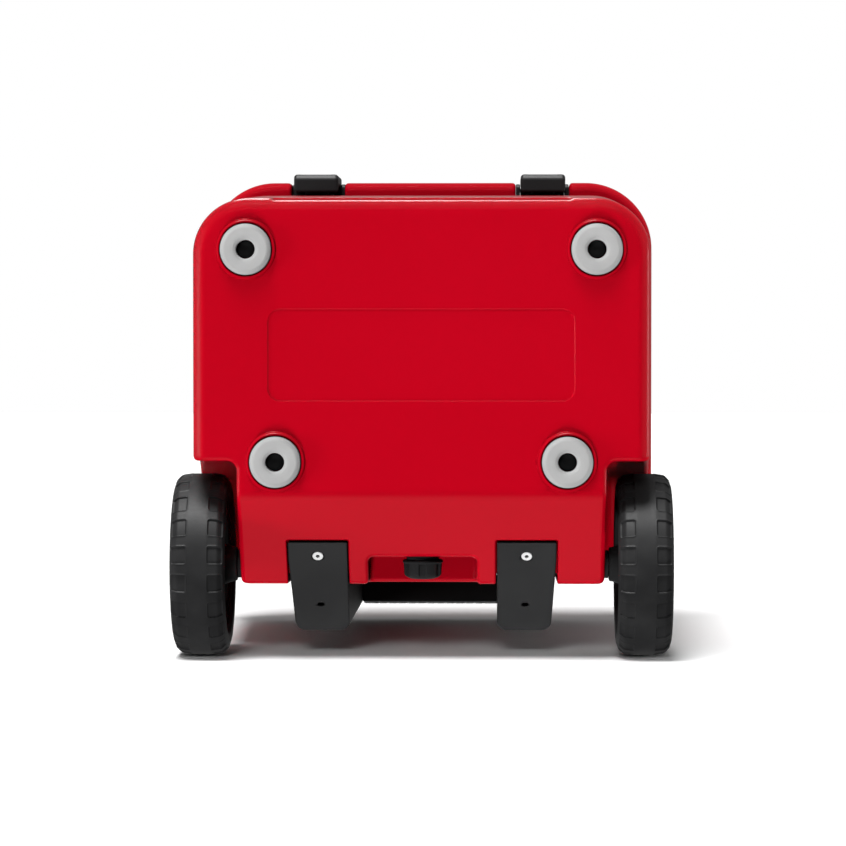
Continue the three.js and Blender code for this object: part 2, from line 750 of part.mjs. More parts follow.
function hingeBracket(side) {
  const { y, z, barrel, pin } = HINGE;
  const outline = [[153, 399], [171.5, 399], [172.5, 443], [174, z]];
  for (let i = 1; i <= 8; i += 1) {
    const turn = (i * Math.PI) / 8;
    outline.push([y + barrel * Math.cos(turn), z + barrel * Math.sin(turn)]);
  }
  outline.push([153, 443]);
  const reach = sideways(side, HINGE.inner, HINGE.outer);
  const bore = rod('x', [y, z], pin + GAP, ...sideways(side, 100, 200));
  return across(outline, reach).subtract(bore);
}

function hingePin(side) {
  return rod('x', [HINGE.y, HINGE.z], HINGE.pin, ...sideways(side, 129, 181));
}

// ---------------------------------------------------------------- latches

function latchSpan(side, half) {
  return [side * LATCH.x - half, side * LATCH.x + half];
}

function latchBase(side) {
  const half = LATCH_NOTCH.width / 2 - GAP;
  const back = LATCH_NOTCH.back - GAP;
  const plate = block(latchSpan(side, half), [-209, back], [450, 492]);
  const gapHalf = LATCH.width / 2 + GAP;
  const ears = block(latchSpan(side, half), [-223, -208.5], [470, 486]);
  const between = block(latchSpan(side, gapHalf), [-230, -209], [440, 500]);
  const pinHole = rod('x', [LATCH.axisY, LATCH.axisZ], 3 + GAP, ...latchSpan(side, 40), 12);
  return cut(union(plate, ears), between, pinHole);
}

function latchPin(side) {
  const half = LATCH_NOTCH.width / 2 - 1;
  return rod('x', [LATCH.axisY, LATCH.axisZ], 3, ...latchSpan(side, half), 12);
}

function latch(side) {
  const { axisY, axisZ, front, low } = LATCH;
  const barrel = 7;
  const { depth, height } = LATCH_BEVEL;
  const outline = [
    [front + depth, low], [front, low + height], [front, axisZ + 3], [front + 3, axisZ + 6],
  ];
  for (let i = 0; i <= 6; i += 1) {
    const turn = Math.PI / 2 - (i * Math.PI) / 8;
    outline.push([axisY + barrel * Math.cos(turn), axisZ + barrel * Math.sin(turn)]);
  }
  const back = axisY - 0.6;
  outline.push([back, axisZ - 12], [back, LATCH_FOOT.high], [LATCH_FOOT.back, LATCH_FOOT.high - 2],
    [LATCH_FOOT.back, low + 1.5], [LATCH_FOOT.back - 1.5, low]);
  const bore = rod('x', [axisY, axisZ], 3.4, ...latchSpan(side, 40), 12);
  return across(outline, latchSpan(side, LATCH.width / 2)).subtract(bore);
}

function latchKeeper(side) {
  const [plate, lip] = [KEEPER, KEEPER_LIP].map(({ width, front, back, low, high }) =>
    block(latchSpan(side, width / 2), [front, back], [low, high]));
  return plate.add(lip);
}

// ---------------------------------------------------------------- drain

function drainFitting() {
  const { z, bore, sleeve, flange } = DRAIN;
  const notch = DRAIN_NOTCH.front;
  const body = union(
    rod('y', [0, z], sleeve, 113, notch + 1, 20),
    rod('y', [0, z], flange - 1, notch + GAP, notch + 1.8, 20),
  );
  return body.subtract(rod('y', [0, z], bore, 90, 200, 20));
}

function drainGasket() {
  const ring = rod('y', [0, DRAIN.z], 15, DRAIN_NOTCH.front + 2.1, DRAIN_NOTCH.front + 3.6, 20);
  return ring.subtract(rod('y', [0, DRAIN.z], DRAIN.bore + 0.4, 90, 200, 20));
}

// A stem, a flange and a knob with one groove between each two lobes, all in one piece
function drainPlug() {
  const start = DRAIN_NOTCH.front + DRAIN.plugGap;
  const knobStart = start + 2.6;
  const chamfer = 3;
  const stem = rod('y', [0, DRAIN.z], DRAIN.bore - 0.4, 122, start + 2);
  const flange = rod('y', [0, DRAIN.z], DRAIN.flange, start, start + 3, 24);
  const body = new THREE.CylinderGeometry(11, 17, chamfer, 24);
  body.translate(0, DRAIN.plugEnd - chamfer / 2, DRAIN.z);
  const barrel = rod('y', [0, DRAIN.z], 17, knobStart, DRAIN.plugEnd - chamfer, 24);
  const grooves = [];
  for (let i = 0; i < DRAIN.lobes; i += 1) {
    const groove = new THREE.BoxGeometry(6.5, FAR, 3.4);
    groove.translate(0, knobStart + 1 + FAR / 2, -17);
    groove.rotateY((i * 2 * Math.PI) / DRAIN.lobes);
    groove.translate(0, 0, DRAIN.z);
    grooves.push(toSolid(groove));
  }
  return union(stem, flange, cut(union(barrel, toSolid(body)), ...grooves));
}

// ---------------------------------------------------------------- the cooler

const paint = (color, roughness, metalness = 0) =>
  new THREE.MeshStandardMaterial({ color, roughness, metalness });

const RED = paint(0xbe0018, 0.35);
const BLACK = paint(0x2b2b2c, 0.5);
const RUBBER = paint(0x303031, 0.7);
const FOOT_GREY = paint(0xb9b9b9, 0.6);
const STEEL = paint(0xc9c9c9, 0.3, 1);
const ALUMINIUM = paint(0xaeb0b3, 0.35, 1);
const FOAM = paint(0xe6d9ac, 0.9);
const SEAL = paint(0x4a4a4b, 0.8);

const cooler = new THREE.Group();
cooler.name = 'wheeled_cooler';

function add(parent, name, solid, material) {
  const mesh = new THREE.Mesh(toGeometry(solid), material);
  mesh.name = name;
  parent.add(mesh);
}

function addTub() {
  const tub = new THREE.Group();
  add(tub, 'tub_shell', tubShell(), RED);
  add(tub, 'tub_insulation', foamSpace(GAP), FOAM);
  add(tub, 'tub_fill_plug', tubFillPlug(), RED);
  add(tub, 'drain_fitting', drainFitting(), BLACK);
  for (const [place, at] of Object.entries(FOOT_PLACES)) {
    add(tub, `foot_${place}`, foot(at), FOOT_GREY);
    add(tub, `foot_screw_${place}`, footScrew(at), BLACK);
  }
  add(tub, 'column_bridge', columnBridge(), BLACK);
  for (const [name, side] of Object.entries(SIDES)) {
    add(tub, `column_${name}`, column(side), BLACK);
    add(tub, `column_screw_${name}`, columnScrew(side), STEEL);
    add(tub, `axle_${name}`, axle(side), STEEL);
    add(tub, `axle_spacer_${name}`, axleSpacer(side), BLACK);
    add(tub, `hinge_bracket_${name}`, hingeBracket(side), BLACK);
    add(tub, `latch_keeper_${name}`, latchKeeper(side), BLACK);
  }
  cooler.add(tub);
}

function addWheels() {
  for (const [name, side] of Object.entries(SIDES)) {
    const wheel = new THREE.Group();
    add(wheel, `tyre_${name}`, tyre(side), RUBBER);
    add(wheel, `wheel_rim_${name}`, wheelRim(side), BLACK);
    add(wheel, `wheel_spider_${name}`, wheelSpider(side), BLACK);
    add(wheel, `wheel_bearing_${name}`, wheelBearing(side), SEAL);
    add(wheel, `hub_cap_${name}`, hubCap(side), BLACK);
    cooler.add(wheel);
  }
}

function addHandle() {
  const handle = new THREE.Group();
  for (const [name, side] of Object.entries(SIDES)) {
    add(handle, `outer_tube_${name}`, tube(OUTER_TUBE, side), ALUMINIUM);
    add(handle, `tube_collar_${name}`, tubeCollar(side), BLACK);
    add(handle, `inner_tube_${name}`, tube(INNER_TUBE, side), ALUMINIUM);
  }
  add(handle, 'handle_grip', gripCore(), BLACK);
  add(handle, 'grip_cover', gripCover(), RUBBER);
  add(handle, 'release_button', releaseButton(), BLACK);
  add(handle, 'release_yoke', releaseYoke(), STEEL);
  add(handle, 'button_spring', buttonSpring(), STEEL);
  cooler.add(handle);
}

function addLid() {
  const lid = new THREE.Group();
  add(lid, 'lid_shell', lidShell(), RED);
  add(lid, 'lid_insulation', lidFoamSpace(GAP), FOAM);
  add(lid, 'lid_fill_plug', lidFillPlug(), RED);
  add(lid, 'lid_gasket', sealRing(SEAL_LINE.width, [RIM.z + GAP, SEAL_LINE.top]), SEAL);
  for (const [name, side] of Object.entries(SIDES)) {
    add(lid, `hinge_pin_${name}`, hingePin(side), STEEL);
    add(lid, `latch_base_${name}`, latchBase(side), BLACK);
    add(lid, `latch_pin_${name}`, latchPin(side), STEEL);
    add(lid, `latch_${name}`, latch(side), BLACK);
  }
  cooler.add(lid);
}

function addDrain() {
  add(cooler, 'drain_gasket', drainGasket(), SEAL);
  add(cooler, 'drain_plug', drainPlug(), BLACK);
}

addTub();
addWheels();
addHandle();
addLid();
addDrain();

export default cooler;
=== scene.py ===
"""A hard cooler on two wheels, seen from below while it lies on its back.

Sizes are millimetres in the cooler's own upright frame, and become metres when a mesh is made.
"""

import json
import math
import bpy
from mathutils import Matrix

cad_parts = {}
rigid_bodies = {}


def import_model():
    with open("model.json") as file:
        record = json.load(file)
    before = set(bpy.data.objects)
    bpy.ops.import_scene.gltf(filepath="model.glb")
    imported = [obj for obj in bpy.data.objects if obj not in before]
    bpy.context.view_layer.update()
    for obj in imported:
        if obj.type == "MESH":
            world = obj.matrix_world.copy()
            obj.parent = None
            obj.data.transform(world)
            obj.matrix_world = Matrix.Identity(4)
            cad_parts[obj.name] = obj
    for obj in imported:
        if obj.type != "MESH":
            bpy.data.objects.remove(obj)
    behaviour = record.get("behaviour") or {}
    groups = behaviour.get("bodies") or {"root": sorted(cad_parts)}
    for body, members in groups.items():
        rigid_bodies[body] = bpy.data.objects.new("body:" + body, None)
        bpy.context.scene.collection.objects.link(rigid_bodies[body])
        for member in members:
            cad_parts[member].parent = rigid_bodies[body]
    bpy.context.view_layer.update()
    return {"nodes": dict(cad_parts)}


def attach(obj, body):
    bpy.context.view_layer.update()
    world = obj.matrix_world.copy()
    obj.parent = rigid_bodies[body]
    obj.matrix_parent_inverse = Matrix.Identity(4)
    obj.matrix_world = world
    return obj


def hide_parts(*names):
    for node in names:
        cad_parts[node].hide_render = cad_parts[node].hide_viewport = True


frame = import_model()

from types import SimpleNamespace as Sizes

import bpy
import numpy as np
from mathutils import Matrix, Vector

# ---------------------------------------------------------------- driving sizes
# "round" is the radius of an edge, "blend" that of an inner corner.

MM = 0.001
FAR = 400.0
SIDES = {"left": -1, "right": 1}

# Tub: outer walls lean outwards from the base to the rim
BASE = Sizes(z=9.0, half=208.6, front=-192.9, rear=161.6, corner=51.0, round=12.0)
RIM = Sizes(z=443.0, half=220.0, front=-210.3, rear=172.5, corner=55.0, round=5.0)
FLOOR = Sizes(z=70.0, half=168.0, front=-150.0, rear=119.0, corner=31.0, round=16.0)
MOUTH = Sizes(z=443.0, half=182.0, front=-177.0, rear=134.5, corner=34.0, round=5.0)
SLOPE = Sizes(y=79.1, z=9.0, angle=math.radians(36.6), wall=36.0, round=3.5)
NOTCH = Sizes(half=50.0, front=136.7, top=112.0, corner=5.0, round=4.0)
POCKET = Sizes(half=137.0, back=-174.4, lip=-191.7, low=25.0, high=60.0, round=2.5)
PANEL = Sizes(half=140.0, front=-92.0, rear=-8.0, corner=12.0, depth=1.0, round=0.5)
INSIDE_BLEND = 12.0
SLOPE_SINE, SLOPE_COSINE = math.sin(SLOPE.angle), math.cos(SLOPE.angle)

# Wheels
AXLE = Sizes(y=145.5, z=88.0, radius=6.35, start=130.0, head=219.5, end=223.0)
WELL = Sizes(inner=168.8, radius=98.8, front=46.7, wall=34.0, corner=9.0, round=4.5)
TYRE = Sizes(radius=85.0, inner=179.5, outer=231.0, bore=62.3, pads=20)
TREAD = Sizes(below_top=1.3, pad_middle=17.4, pad_half=7.4, pad_edge=0.7, pad_lift=1.25,
              pad_share=0.3, groove=0.4, groove_at=0.55, lowest=76.0, side_from=80.0)
RIM_RING = Sizes(inner=56.0, outer=62.0, start=184.5)
HUB = Sizes(start=173.0, end=226.0, radius=16.0, flare=8.0, flare_from=176.0, flare_run=24.0,
            cup=20.3, cup_from=219.3, bore=9.4)
SPOKE = Sizes(count=6, half=5.5, start=194.0, end=220.0, reach=59.0)

# Feet
FOOT = Sizes(radius=23.3, hole=8.5, pocket=24.1, low=5.5, top=17.0, bolt=10.2)
FOOT_PLACES = {
    f"{end}_{name}": (side * x, y)
    for end, x, y in (("front", 159.8, -146.3), ("rear", 133.2, 47.5))
    for name, side in SIDES.items()
}
FOOT_HOLE = 25.8

# Handle
COLUMN = Sizes(inner=69.0, outer=124.0, front=122.5, back=209.0, top=465.0, bend=101.0,
               lean=0.012, tongue=12.0, tongue_top=160.0, corner=9.0)
SHOULDER = Sizes(y=154.8, z=80.0, lean=0.0235, top=441.0, upper=184.0)
COLUMN_TAPER = Sizes(y=140.0, run=54.0, depth=3.6, most=1.2)
COLUMN_SLOT = Sizes(xs=(92.4, 98.2), ys=(181.6, 184.6), top=108.0)
CHANNEL_DEPTH = 10.0
RECESS_GAP = 1.0
TUBE = Sizes(x=96.5, y=200.0, z=465.0, lean=math.radians(1.5))
OUTER_TUBE = Sizes(width=28.0, depth=18.0, low=-340.0, high=4.0)
INNER_TUBE = Sizes(width=24.0, depth=14.0, low=-335.0, high=18.7)
TUBE_WALL = 1.5
COLLAR = Sizes(width=36.0, depth=25.0, hole_width=25.0, hole_depth=15.0, low=0.4, high=7.6)
THROAT = Sizes(width=29.4, depth=19.4, low=116.0)
SCREW = Sizes(y=136.3, radius=5.0, head=1.6, socket=1.5, deep=3.0, shank=2.5, length=22.0,
              seat=5.3, seat_deep=2.4)
BRIDGE = Sizes(front=173.5, back=206.5, low=424.0, high=452.0, lean=0.1, lip_y=184.0, lip_z=441.0)
GRIP = Sizes(half=114.0, end=78.0, front=186.0, back=213.0, low=474.0, high=503.0,
             hole_floor=492.2, socket_top=485.7)
GRIP_BAR = Sizes(front=188.0, back=211.0, low=479.3, high=499.7, half=92.0)
SLEEVE = Sizes(front=184.5, back=213.5, low=476.5, half=70.0, groove_every=10.0,
               groove_half=1.1, groove_depth=1.0, grooved=62.0, grooved_top=486.0,
               hole_floor=490.0)
BUTTON = Sizes(front=192.3, back=209.0, half=13.0, low=495.8, high=505.0)
DISH = Sizes(y=200.6, z=523.5, radius=19.4, stretch=0.6)

# Lid and latches
LID = Sizes(low=445.0, high=497.0, half=228.0, front=-223.5, rear=178.0, corner=68.0, round=9.0)
LID_PLUG = Sizes(low=437.0, high=460.0, half=176.0, front=-169.0, rear=126.0, corner=30.0)
LID_PANEL = Sizes(half=178.0, front=-172.0, rear=112.0, corner=40.0, depth=2.0)
HINGE = Sizes(y=165.0, z=485.0, inner=140.0, outer=170.0, barrel=9.0, bore=4.3, pin=4.0,
              pin_start=129.0, pin_end=181.0, low=399.0, front=153.2, back=171.5, lean=0.029,
              most=2.5)
HINGE_ARM = Sizes(front=153.0, lean=0.07, low=430.0)
HINGE_ROOM = Sizes(tub_front=152.5, lid_front=150.0)
LATCH = Sizes(x=115.5, half=22.7, front=-230.5, back=-217.6, low=402.0, high=484.0, bevel=4.5,
              foot_back=-212.3, foot_high=410.0)
PIVOT = Sizes(y=-217.0, z=478.0, barrel=7.0, bore=3.4, pin=3.0, half=26.5)
SCOOP = Sizes(z=425.0, radius=59.4, depth=1.4, border=5.0)
RIBS = Sizes(first=409.0, every=5.0, half=0.9, low=406.5, high=421.5, width=15.0, depth=2.1)
LATCH_NOTCH = Sizes(half=27.5, back=-203.0)
PLATE = Sizes(front=-209.0, low=450.0, high=492.0)
EARS = Sizes(front=-223.0, back=-206.0, low=469.0, high=487.0)
KEEPER = Sizes(half=17.5, front=-211.0, back=-202.5, low=412.0, high=436.0)
KEEPER_LIP = Sizes(half=11.5, front=-214.5, back=-205.5, low=418.0, high=427.0)

# Drain
DRAIN = Sizes(z=80.0, start=140.6, end=158.7, hole=11.6, hole_from=90.0)
KNOB = Sizes(radius=18.1, taper=0.06, lobes=6, groove=3.0, groove_in=15.4, neck=16.9, dish=7.5,
             flange=19.0, stem=9.1, stem_from=122.0)

# ---------------------------------------------------------------- distance fields
# A field gives the distance to a surface in mm, below zero inside.

SHARP = 0.01


def both(a, b, radius=SHARP):
    """What is inside both a and b, its outer edge rounded."""
    corner = np.sqrt(np.maximum(a + radius, 0) ** 2 + np.maximum(b + radius, 0) ** 2)
    return np.minimum(np.maximum(a, b), -radius) + corner


def either(a, b, radius=SHARP):
    """What is inside a or b, the inner corner between them rounded."""
    return -both(-a, -b, radius)


def carved(a, b, radius=SHARP):
    """What is inside a and outside b, its edge rounded."""
    return both(a, -b, radius)


def slab(v, low, high):
    return np.abs(v - (low + high) / 2) - (high - low) / 2


def disc(u, v, at, radius):
    return np.sqrt((u - at[0]) ** 2 + (v - at[1]) ** 2) - radius


def cuboid(x, y, z, xs, ys, zs, radius):
    return both(both(slab(x, *xs), slab(y, *ys), radius), slab(z, *zs), radius)


def upright_box(x, y, sizes):
    """A rounded rectangle in plan with upright walls."""
    return both(np.abs(x) - sizes.half, slab(y, sizes.front, sizes.rear), sizes.corner)


def leaning_plan(x, y, z, low, high):
    """A rounded rectangle in plan whose walls lean from the low outline to the high one."""
    t = (z - low.z) / (high.z - low.z)
    half, front, rear, corner = (
        getattr(low, name) + (getattr(high, name) - getattr(low, name)) * t
        for name in ("half", "front", "rear", "corner")
    )
    return both(np.abs(x) - half, np.maximum(front - y, y - rear), corner)


def slope_field(y, z):
    """The sloping facet under the back: below zero above it."""
    return (y - SLOPE.y) * SLOPE_SINE - (z - SLOPE.z) * SLOPE_COSINE


def slope_z(y):
    return SLOPE.z + (y - SLOPE.y) * math.tan(SLOPE.angle)


def rear_wall(z):
    t = (z - BASE.z) / (RIM.z - BASE.z)
    return BASE.rear + (RIM.rear - BASE.rear) * t


def arch(y, z, radius, front):
    """An arched space around the axle, open below and behind."""
    round_top = disc(y, z, (AXLE.y, AXLE.z), radius)
    return np.where(z > AXLE.z, round_top, front - y)


def column_recess(x, y, z):
    edge = 1.5
    foot = -(COLUMN.tongue + RECESS_GAP) - slope_field(y, z)
    channel = rear_wall(z) - CHANNEL_DEPTH - y
    space = both(COLUMN.front - 2 * RECESS_GAP - y, either(foot, channel, edge), edge)
    across = slab(np.abs(x), COLUMN.inner - RECESS_GAP, COLUMN.outer + RECESS_GAP)
    return both(space, across, edge)


def lift_pocket(x, y, z):
    edge = POCKET.round
    across, high = (-POCKET.half, POCKET.half), POCKET.high
    grip = cuboid(x, y, z, across, (-FAR, POCKET.back), (POCKET.low, high), 2 * edge)
    lip = cuboid(x, y, z, across, (-FAR, POCKET.lip), (-FAR, high), edge)
    return either(grip, lip, 2.0)


def tub_inside(x, y, z):
    space = leaning_plan(x, y, z, FLOOR, MOUTH)
    space = both(space, FLOOR.z - z, FLOOR.round)
    space = both(space, slope_field(y, z) + SLOPE.wall, INSIDE_BLEND)
    reach = WELL.radius + WELL.wall
    hump = arch(y, z, reach, AXLE.y - reach)
    hump = both(hump, WELL.inner - WELL.wall - np.abs(x), INSIDE_BLEND)
    return carved(space, hump, 10.0)


def beside_wheels(x, y, z):
    space = arch(y, z, WELL.radius, WELL.front)
    return both(space, WELL.inner - np.abs(x), WELL.corner)


def drain_notch(x, y, z):
    return cuboid(x, y, z, (-NOTCH.half, NOTCH.half), (NOTCH.front, FAR),
                  (-FAR, NOTCH.top), NOTCH.corner)


def keeper_room(x, y, z):
    gap = 0.5
    half = KEEPER.half + gap
    return cuboid(np.abs(x) - LATCH.x, y, z, (-half, half), (-FAR, KEEPER.back + gap),
                  (KEEPER.low - gap, KEEPER.high + gap), 2.0)


def hinge_room(x, y, z):
    gap = 0.5
    return cuboid(np.abs(x), y, z, (HINGE.inner - gap, HINGE.outer + gap),
                  (HINGE_ROOM.tub_front, FAR), (HINGE.low - 2 * gap, 2 * FAR), 2.0)


def tub_field(x, y, z):
    body = leaning_plan(x, y, z, BASE, RIM)
    body = both(body, BASE.z - z, BASE.round)
    body = both(body, z - RIM.z, RIM.round)
    body = both(body, slope_field(y, z), SLOPE.round)
    for space, edge in (
        (beside_wheels, WELL.round), (drain_notch, NOTCH.round), (column_recess, 1.5),
        (lift_pocket, POCKET.round), (keeper_room, 1.2), (hinge_room, 1.5),
    ):
        body = carved(body, space(x, y, z), edge)
    panel = both(upright_box(x, y, PANEL), z - BASE.z - PANEL.depth, PANEL.round)
    body = carved(body, panel, PANEL.round)
    for place in FOOT_PLACES.values():
        body = carved(body, np.maximum(disc(x, y, place, FOOT_HOLE), z - FOOT.top - 1.0))
    drain_hole = disc(x, z, (0.0, DRAIN.z), DRAIN.hole)
    body = carved(body, np.maximum(drain_hole, DRAIN.hole_from - y))
    return carved(body, tub_inside(x, y, z), MOUTH.round)


def lid_field(x, y, z):
    body = both(upright_box(x, y, LID), slab(z, LID.low, LID.high), LID.round)
    beside_latch = np.abs(np.abs(x) - LATCH.x)
    latch_room = both(beside_latch - LATCH_NOTCH.half, y - LATCH_NOTCH.back, 2.0)
    body = carved(body, latch_room, 3.5)
    hinges = both(slab(np.abs(x), HINGE.inner - 1.0, HINGE.outer + 1.0),
                  HINGE_ROOM.lid_front - y, 2.0)
    body = carved(body, hinges, 2.5)
    panel = both(upright_box(x, y, LID_PANEL), LID.high - LID_PANEL.depth - z, 1.5)
    body = carved(body, panel, 2.0)
    plug = both(upright_box(x, y, LID_PLUG), slab(z, LID_PLUG.low, LID_PLUG.high), 4.0)
    return either(body, plug, 3.0)


def column_field(x, y, z):
    """The right column: a tongue under the tub's slope and a bar up its back."""
    edge, corner = 1.2, COLUMN.corner
    leaned = (z - COLUMN.bend) * COLUMN.lean
    shoulder = SHOULDER.y + (z - SHOULDER.z) * SHOULDER.lean
    bar = either(both(shoulder - y, z - SHOULDER.top, 4.0),
                 both(SHOULDER.upper - y, z - COLUMN.top, 2.0), 1.5)
    tongue = -(slope_field(y, z) + COLUMN.tongue)
    side = either(bar, both(tongue, z - COLUMN.tongue_top, 1.0), 2.0)
    side = both(side, slope_field(y, z), 1.4)
    side = both(side, COLUMN.front - y, edge)
    back = y - COLUMN.back - leaned
    taper = (y - COLUMN_TAPER.y - leaned) / COLUMN_TAPER.run
    narrowed = np.clip(taper, 0, COLUMN_TAPER.most) * COLUMN_TAPER.depth
    plan = both(both(x - COLUMN.outer + narrowed, back, corner), COLUMN.inner - x, edge)
    plan = np.maximum(plan, both(COLUMN.inner - x, back, corner))
    body = both(plan, side, 1.4)
    u, v = tube_frame(x, y, z)
    throat = np.maximum(tube_section(u, v, THROAT.width, THROAT.depth), THROAT.low - z)
    body = carved(body, throat, 1.0)
    slot = cuboid(x, y, z, COLUMN_SLOT.xs, COLUMN_SLOT.ys, (0, COLUMN_SLOT.top), 1.0)
    body = carved(body, slot, 0.3)
    across, above = screw_frame(y, z)
    off_axis = np.sqrt((x - TUBE.x) ** 2 + across**2)
    seat = np.maximum(off_axis - SCREW.seat, above - SCREW.seat_deep)
    return carved(body, seat, 0.4)


def tube_frame(x, y, z):
    """Distances from a handle tube's axis: across the cooler, and across the tube's depth."""
    lean = math.tan(TUBE.lean)
    return x - TUBE.x, (y - TUBE.y - (z - TUBE.z) * lean) * math.cos(TUBE.lean)


def tube_section(u, v, width, depth):
    run = (width - depth) / 2
    return np.sqrt((np.maximum(np.abs(u) - run, 0)) ** 2 + v**2) - depth / 2


def screw_frame(y, z):
    """Distance across a column screw's axis and depth above the facet."""
    dy, dz = y - SCREW.y, z - slope_z(SCREW.y)
    return dy * SLOPE_COSINE + dz * SLOPE_SINE, -dy * SLOPE_SINE + dz * SLOPE_COSINE


def bridge_field(x, y, z):
    half = COLUMN.inner - 0.3
    back = y - BRIDGE.back - (z - BRIDGE.low) * BRIDGE.lean
    beam = both(both(BRIDGE.front - y, back, 2.0), slab(z, BRIDGE.low, BRIDGE.high), 2.0)
    beam = carved(beam, both(y - BRIDGE.lip_y, BRIDGE.lip_z - z, 1.0), 1.0)
    return np.maximum(beam, np.abs(x) - half)


def latch_field(x, y, z):
    """One latch, drawn about x = 0."""
    front, low, half = LATCH.front, LATCH.low, LATCH.half
    axis = (PIVOT.y, PIVOT.z)
    body = both(slab(y, front, LATCH.back), slab(z, low, LATCH.high), 3.0)
    foot = both(slab(y, front, LATCH.foot_back), slab(z, low, LATCH.foot_high), 2.5)
    body = np.minimum(body, foot)
    bevel = 0.6 * (front + LATCH.bevel - y) + 0.8 * (low - z)
    body = both(body, bevel, 1.0)
    body = both(body, np.abs(x) - half, 3.6)
    scoop_y = front + SCOOP.depth - SCOOP.radius
    scoop = disc(y, z, (scoop_y, SCOOP.z), SCOOP.radius)
    scoop = both(scoop, np.abs(x) - half + SCOOP.border, 2.0)
    body = carved(body, scoop, 1.5)
    barrel = both(disc(y, z, axis, PIVOT.barrel), np.abs(x) - half, 1.2)
    body = np.minimum(body, barrel)
    every = RIBS.every
    ribs = np.abs((z - RIBS.first) % every - every / 2) - RIBS.half
    ribs = np.maximum(ribs, slab(z, RIBS.low, RIBS.high))
    ribs = np.maximum(ribs, np.abs(x) - RIBS.width)
    ribs = np.maximum(ribs, y - front - RIBS.depth)
    return carved(carved(body, ribs, 0.4), disc(y, z, axis, PIVOT.bore), 0.3)


def latch_base_field(x, y, z):
    gap = 0.3
    half = LATCH_NOTCH.half - gap
    plate = cuboid(x, y, z, (-half, half), (PLATE.front, LATCH_NOTCH.back - gap),
                   (PLATE.low, PLATE.high), 1.5)
    ears = both(slab(y, EARS.front, EARS.back), slab(z, EARS.low, EARS.high), 5.0)
    ears = both(ears, slab(np.abs(x), LATCH.half + gap, half), 0.8)
    hole = disc(y, z, (PIVOT.y, PIVOT.z), PIVOT.pin + 0.2)
    return carved(either(plate, ears, 1.0), hole, 0.2)


def keeper_field(x, y, z):
    plate, lip = [
        cuboid(x, y, z, (-part.half, part.half), (part.front, part.back),
               (part.low, part.high), edge)
        for part, edge in ((KEEPER, 2.0), (KEEPER_LIP, 1.5))
    ]
    return either(plate, lip, 1.5)


def rim_field(x, y, z):
    """The right wheel's rim: ring, spokes and hub."""
    up, back = z - AXLE.z, y - AXLE.y
    radius = disc(y, z, (AXLE.y, AXLE.z), 0.0)
    ring = both(slab(radius, RIM_RING.inner, RIM_RING.outer),
                slab(x, RIM_RING.start, HUB.end), 1.5)
    flare = np.clip((x - HUB.flare_from) / HUB.flare_run, 0, 1) * HUB.flare
    hub = both(radius - HUB.radius - flare, slab(x, HUB.start, HUB.end), 1.8)
    web = 1e3
    for i in range(SPOKE.count):
        turn = i * 2 * math.pi / SPOKE.count
        out = up * math.cos(turn) - back * math.sin(turn)
        over = up * math.sin(turn) + back * math.cos(turn)
        spoke = both(np.abs(over) - SPOKE.half, slab(x, SPOKE.start, SPOKE.end), 2.2)
        web = np.minimum(web, np.maximum(spoke, np.maximum(out - SPOKE.reach, -out)))
    body = either(either(ring, hub, 2.0), web, 3.5)
    cup = both(radius - HUB.cup, HUB.cup_from - x, 0.8)
    return carved(carved(body, cup, 1.0), radius - HUB.bore, 0.5)


def collar_field(x, y, z):
    u, v = tube_frame(x, y, z)
    height = slab(z, TUBE.z + COLLAR.low, TUBE.z + COLLAR.high)
    ring = both(tube_section(u, v, COLLAR.width, COLLAR.depth), height, 1.6)
    return carved(ring, tube_section(u, v, COLLAR.hole_width, COLLAR.hole_depth), 0.8)


def button_outline(x, y, gap=0.0):
    """The release button in plan, or its opening, wider by a gap all round."""
    return both(slab(y, BUTTON.front - gap, BUTTON.back + gap),
                np.abs(x) - BUTTON.half - gap, 5.0)


def grip_field(x, y, z):
    """The handle's crossbar with its two ends that take the inner tubes."""
    ends = both(slab(y, GRIP.front, GRIP.back), slab(np.abs(x), GRIP.end, GRIP.half), 9.0)
    ends = both(ends, slab(z, GRIP.low, GRIP.high), 5.0)
    beam = both(slab(y, GRIP_BAR.front, GRIP_BAR.back), slab(z, GRIP_BAR.low, GRIP_BAR.high), 3.0)
    beam = both(beam, np.abs(x) - GRIP_BAR.half, 1.0)
    body = either(ends, beam, 4.0)
    hole = np.maximum(button_outline(x, y, 0.4), GRIP.hole_floor - z)
    body = carved(body, hole, 0.4)
    u, v = tube_frame(np.abs(x), y, z)
    socket = tube_section(u, v, INNER_TUBE.width + 0.6, INNER_TUBE.depth + 0.6)
    return carved(body, np.maximum(socket, z - GRIP.socket_top), 0.5)


def grip_cover_field(x, y, z):
    """The rubber sleeve on the bar, grooved below, its bore a little tighter than the bar."""
    every, bite = SLEEVE.groove_every, 0.4
    section = both(slab(y, SLEEVE.front, SLEEVE.back),
                   slab(z, SLEEVE.low, GRIP.high), 8.0)
    groove = np.abs(x % every - every / 2) - SLEEVE.groove_half
    low_side = both(z - SLEEVE.grooved_top, np.abs(x) - SLEEVE.grooved, 1.0)
    groove = both(both(groove, low_side, 0.4), -section - SLEEVE.groove_depth, 0.4)
    sleeve = both(carved(section, groove, 0.6), np.abs(x) - SLEEVE.half, 2.0)
    bore = np.maximum(slab(y, GRIP_BAR.front + bite, GRIP_BAR.back - bite),
                      slab(z, GRIP_BAR.low + bite, GRIP_BAR.high - bite))
    hole = np.maximum(button_outline(x, y, 0.6), SLEEVE.hole_floor - z)
    return carved(carved(sleeve, bore, 0.3), hole, 0.8)


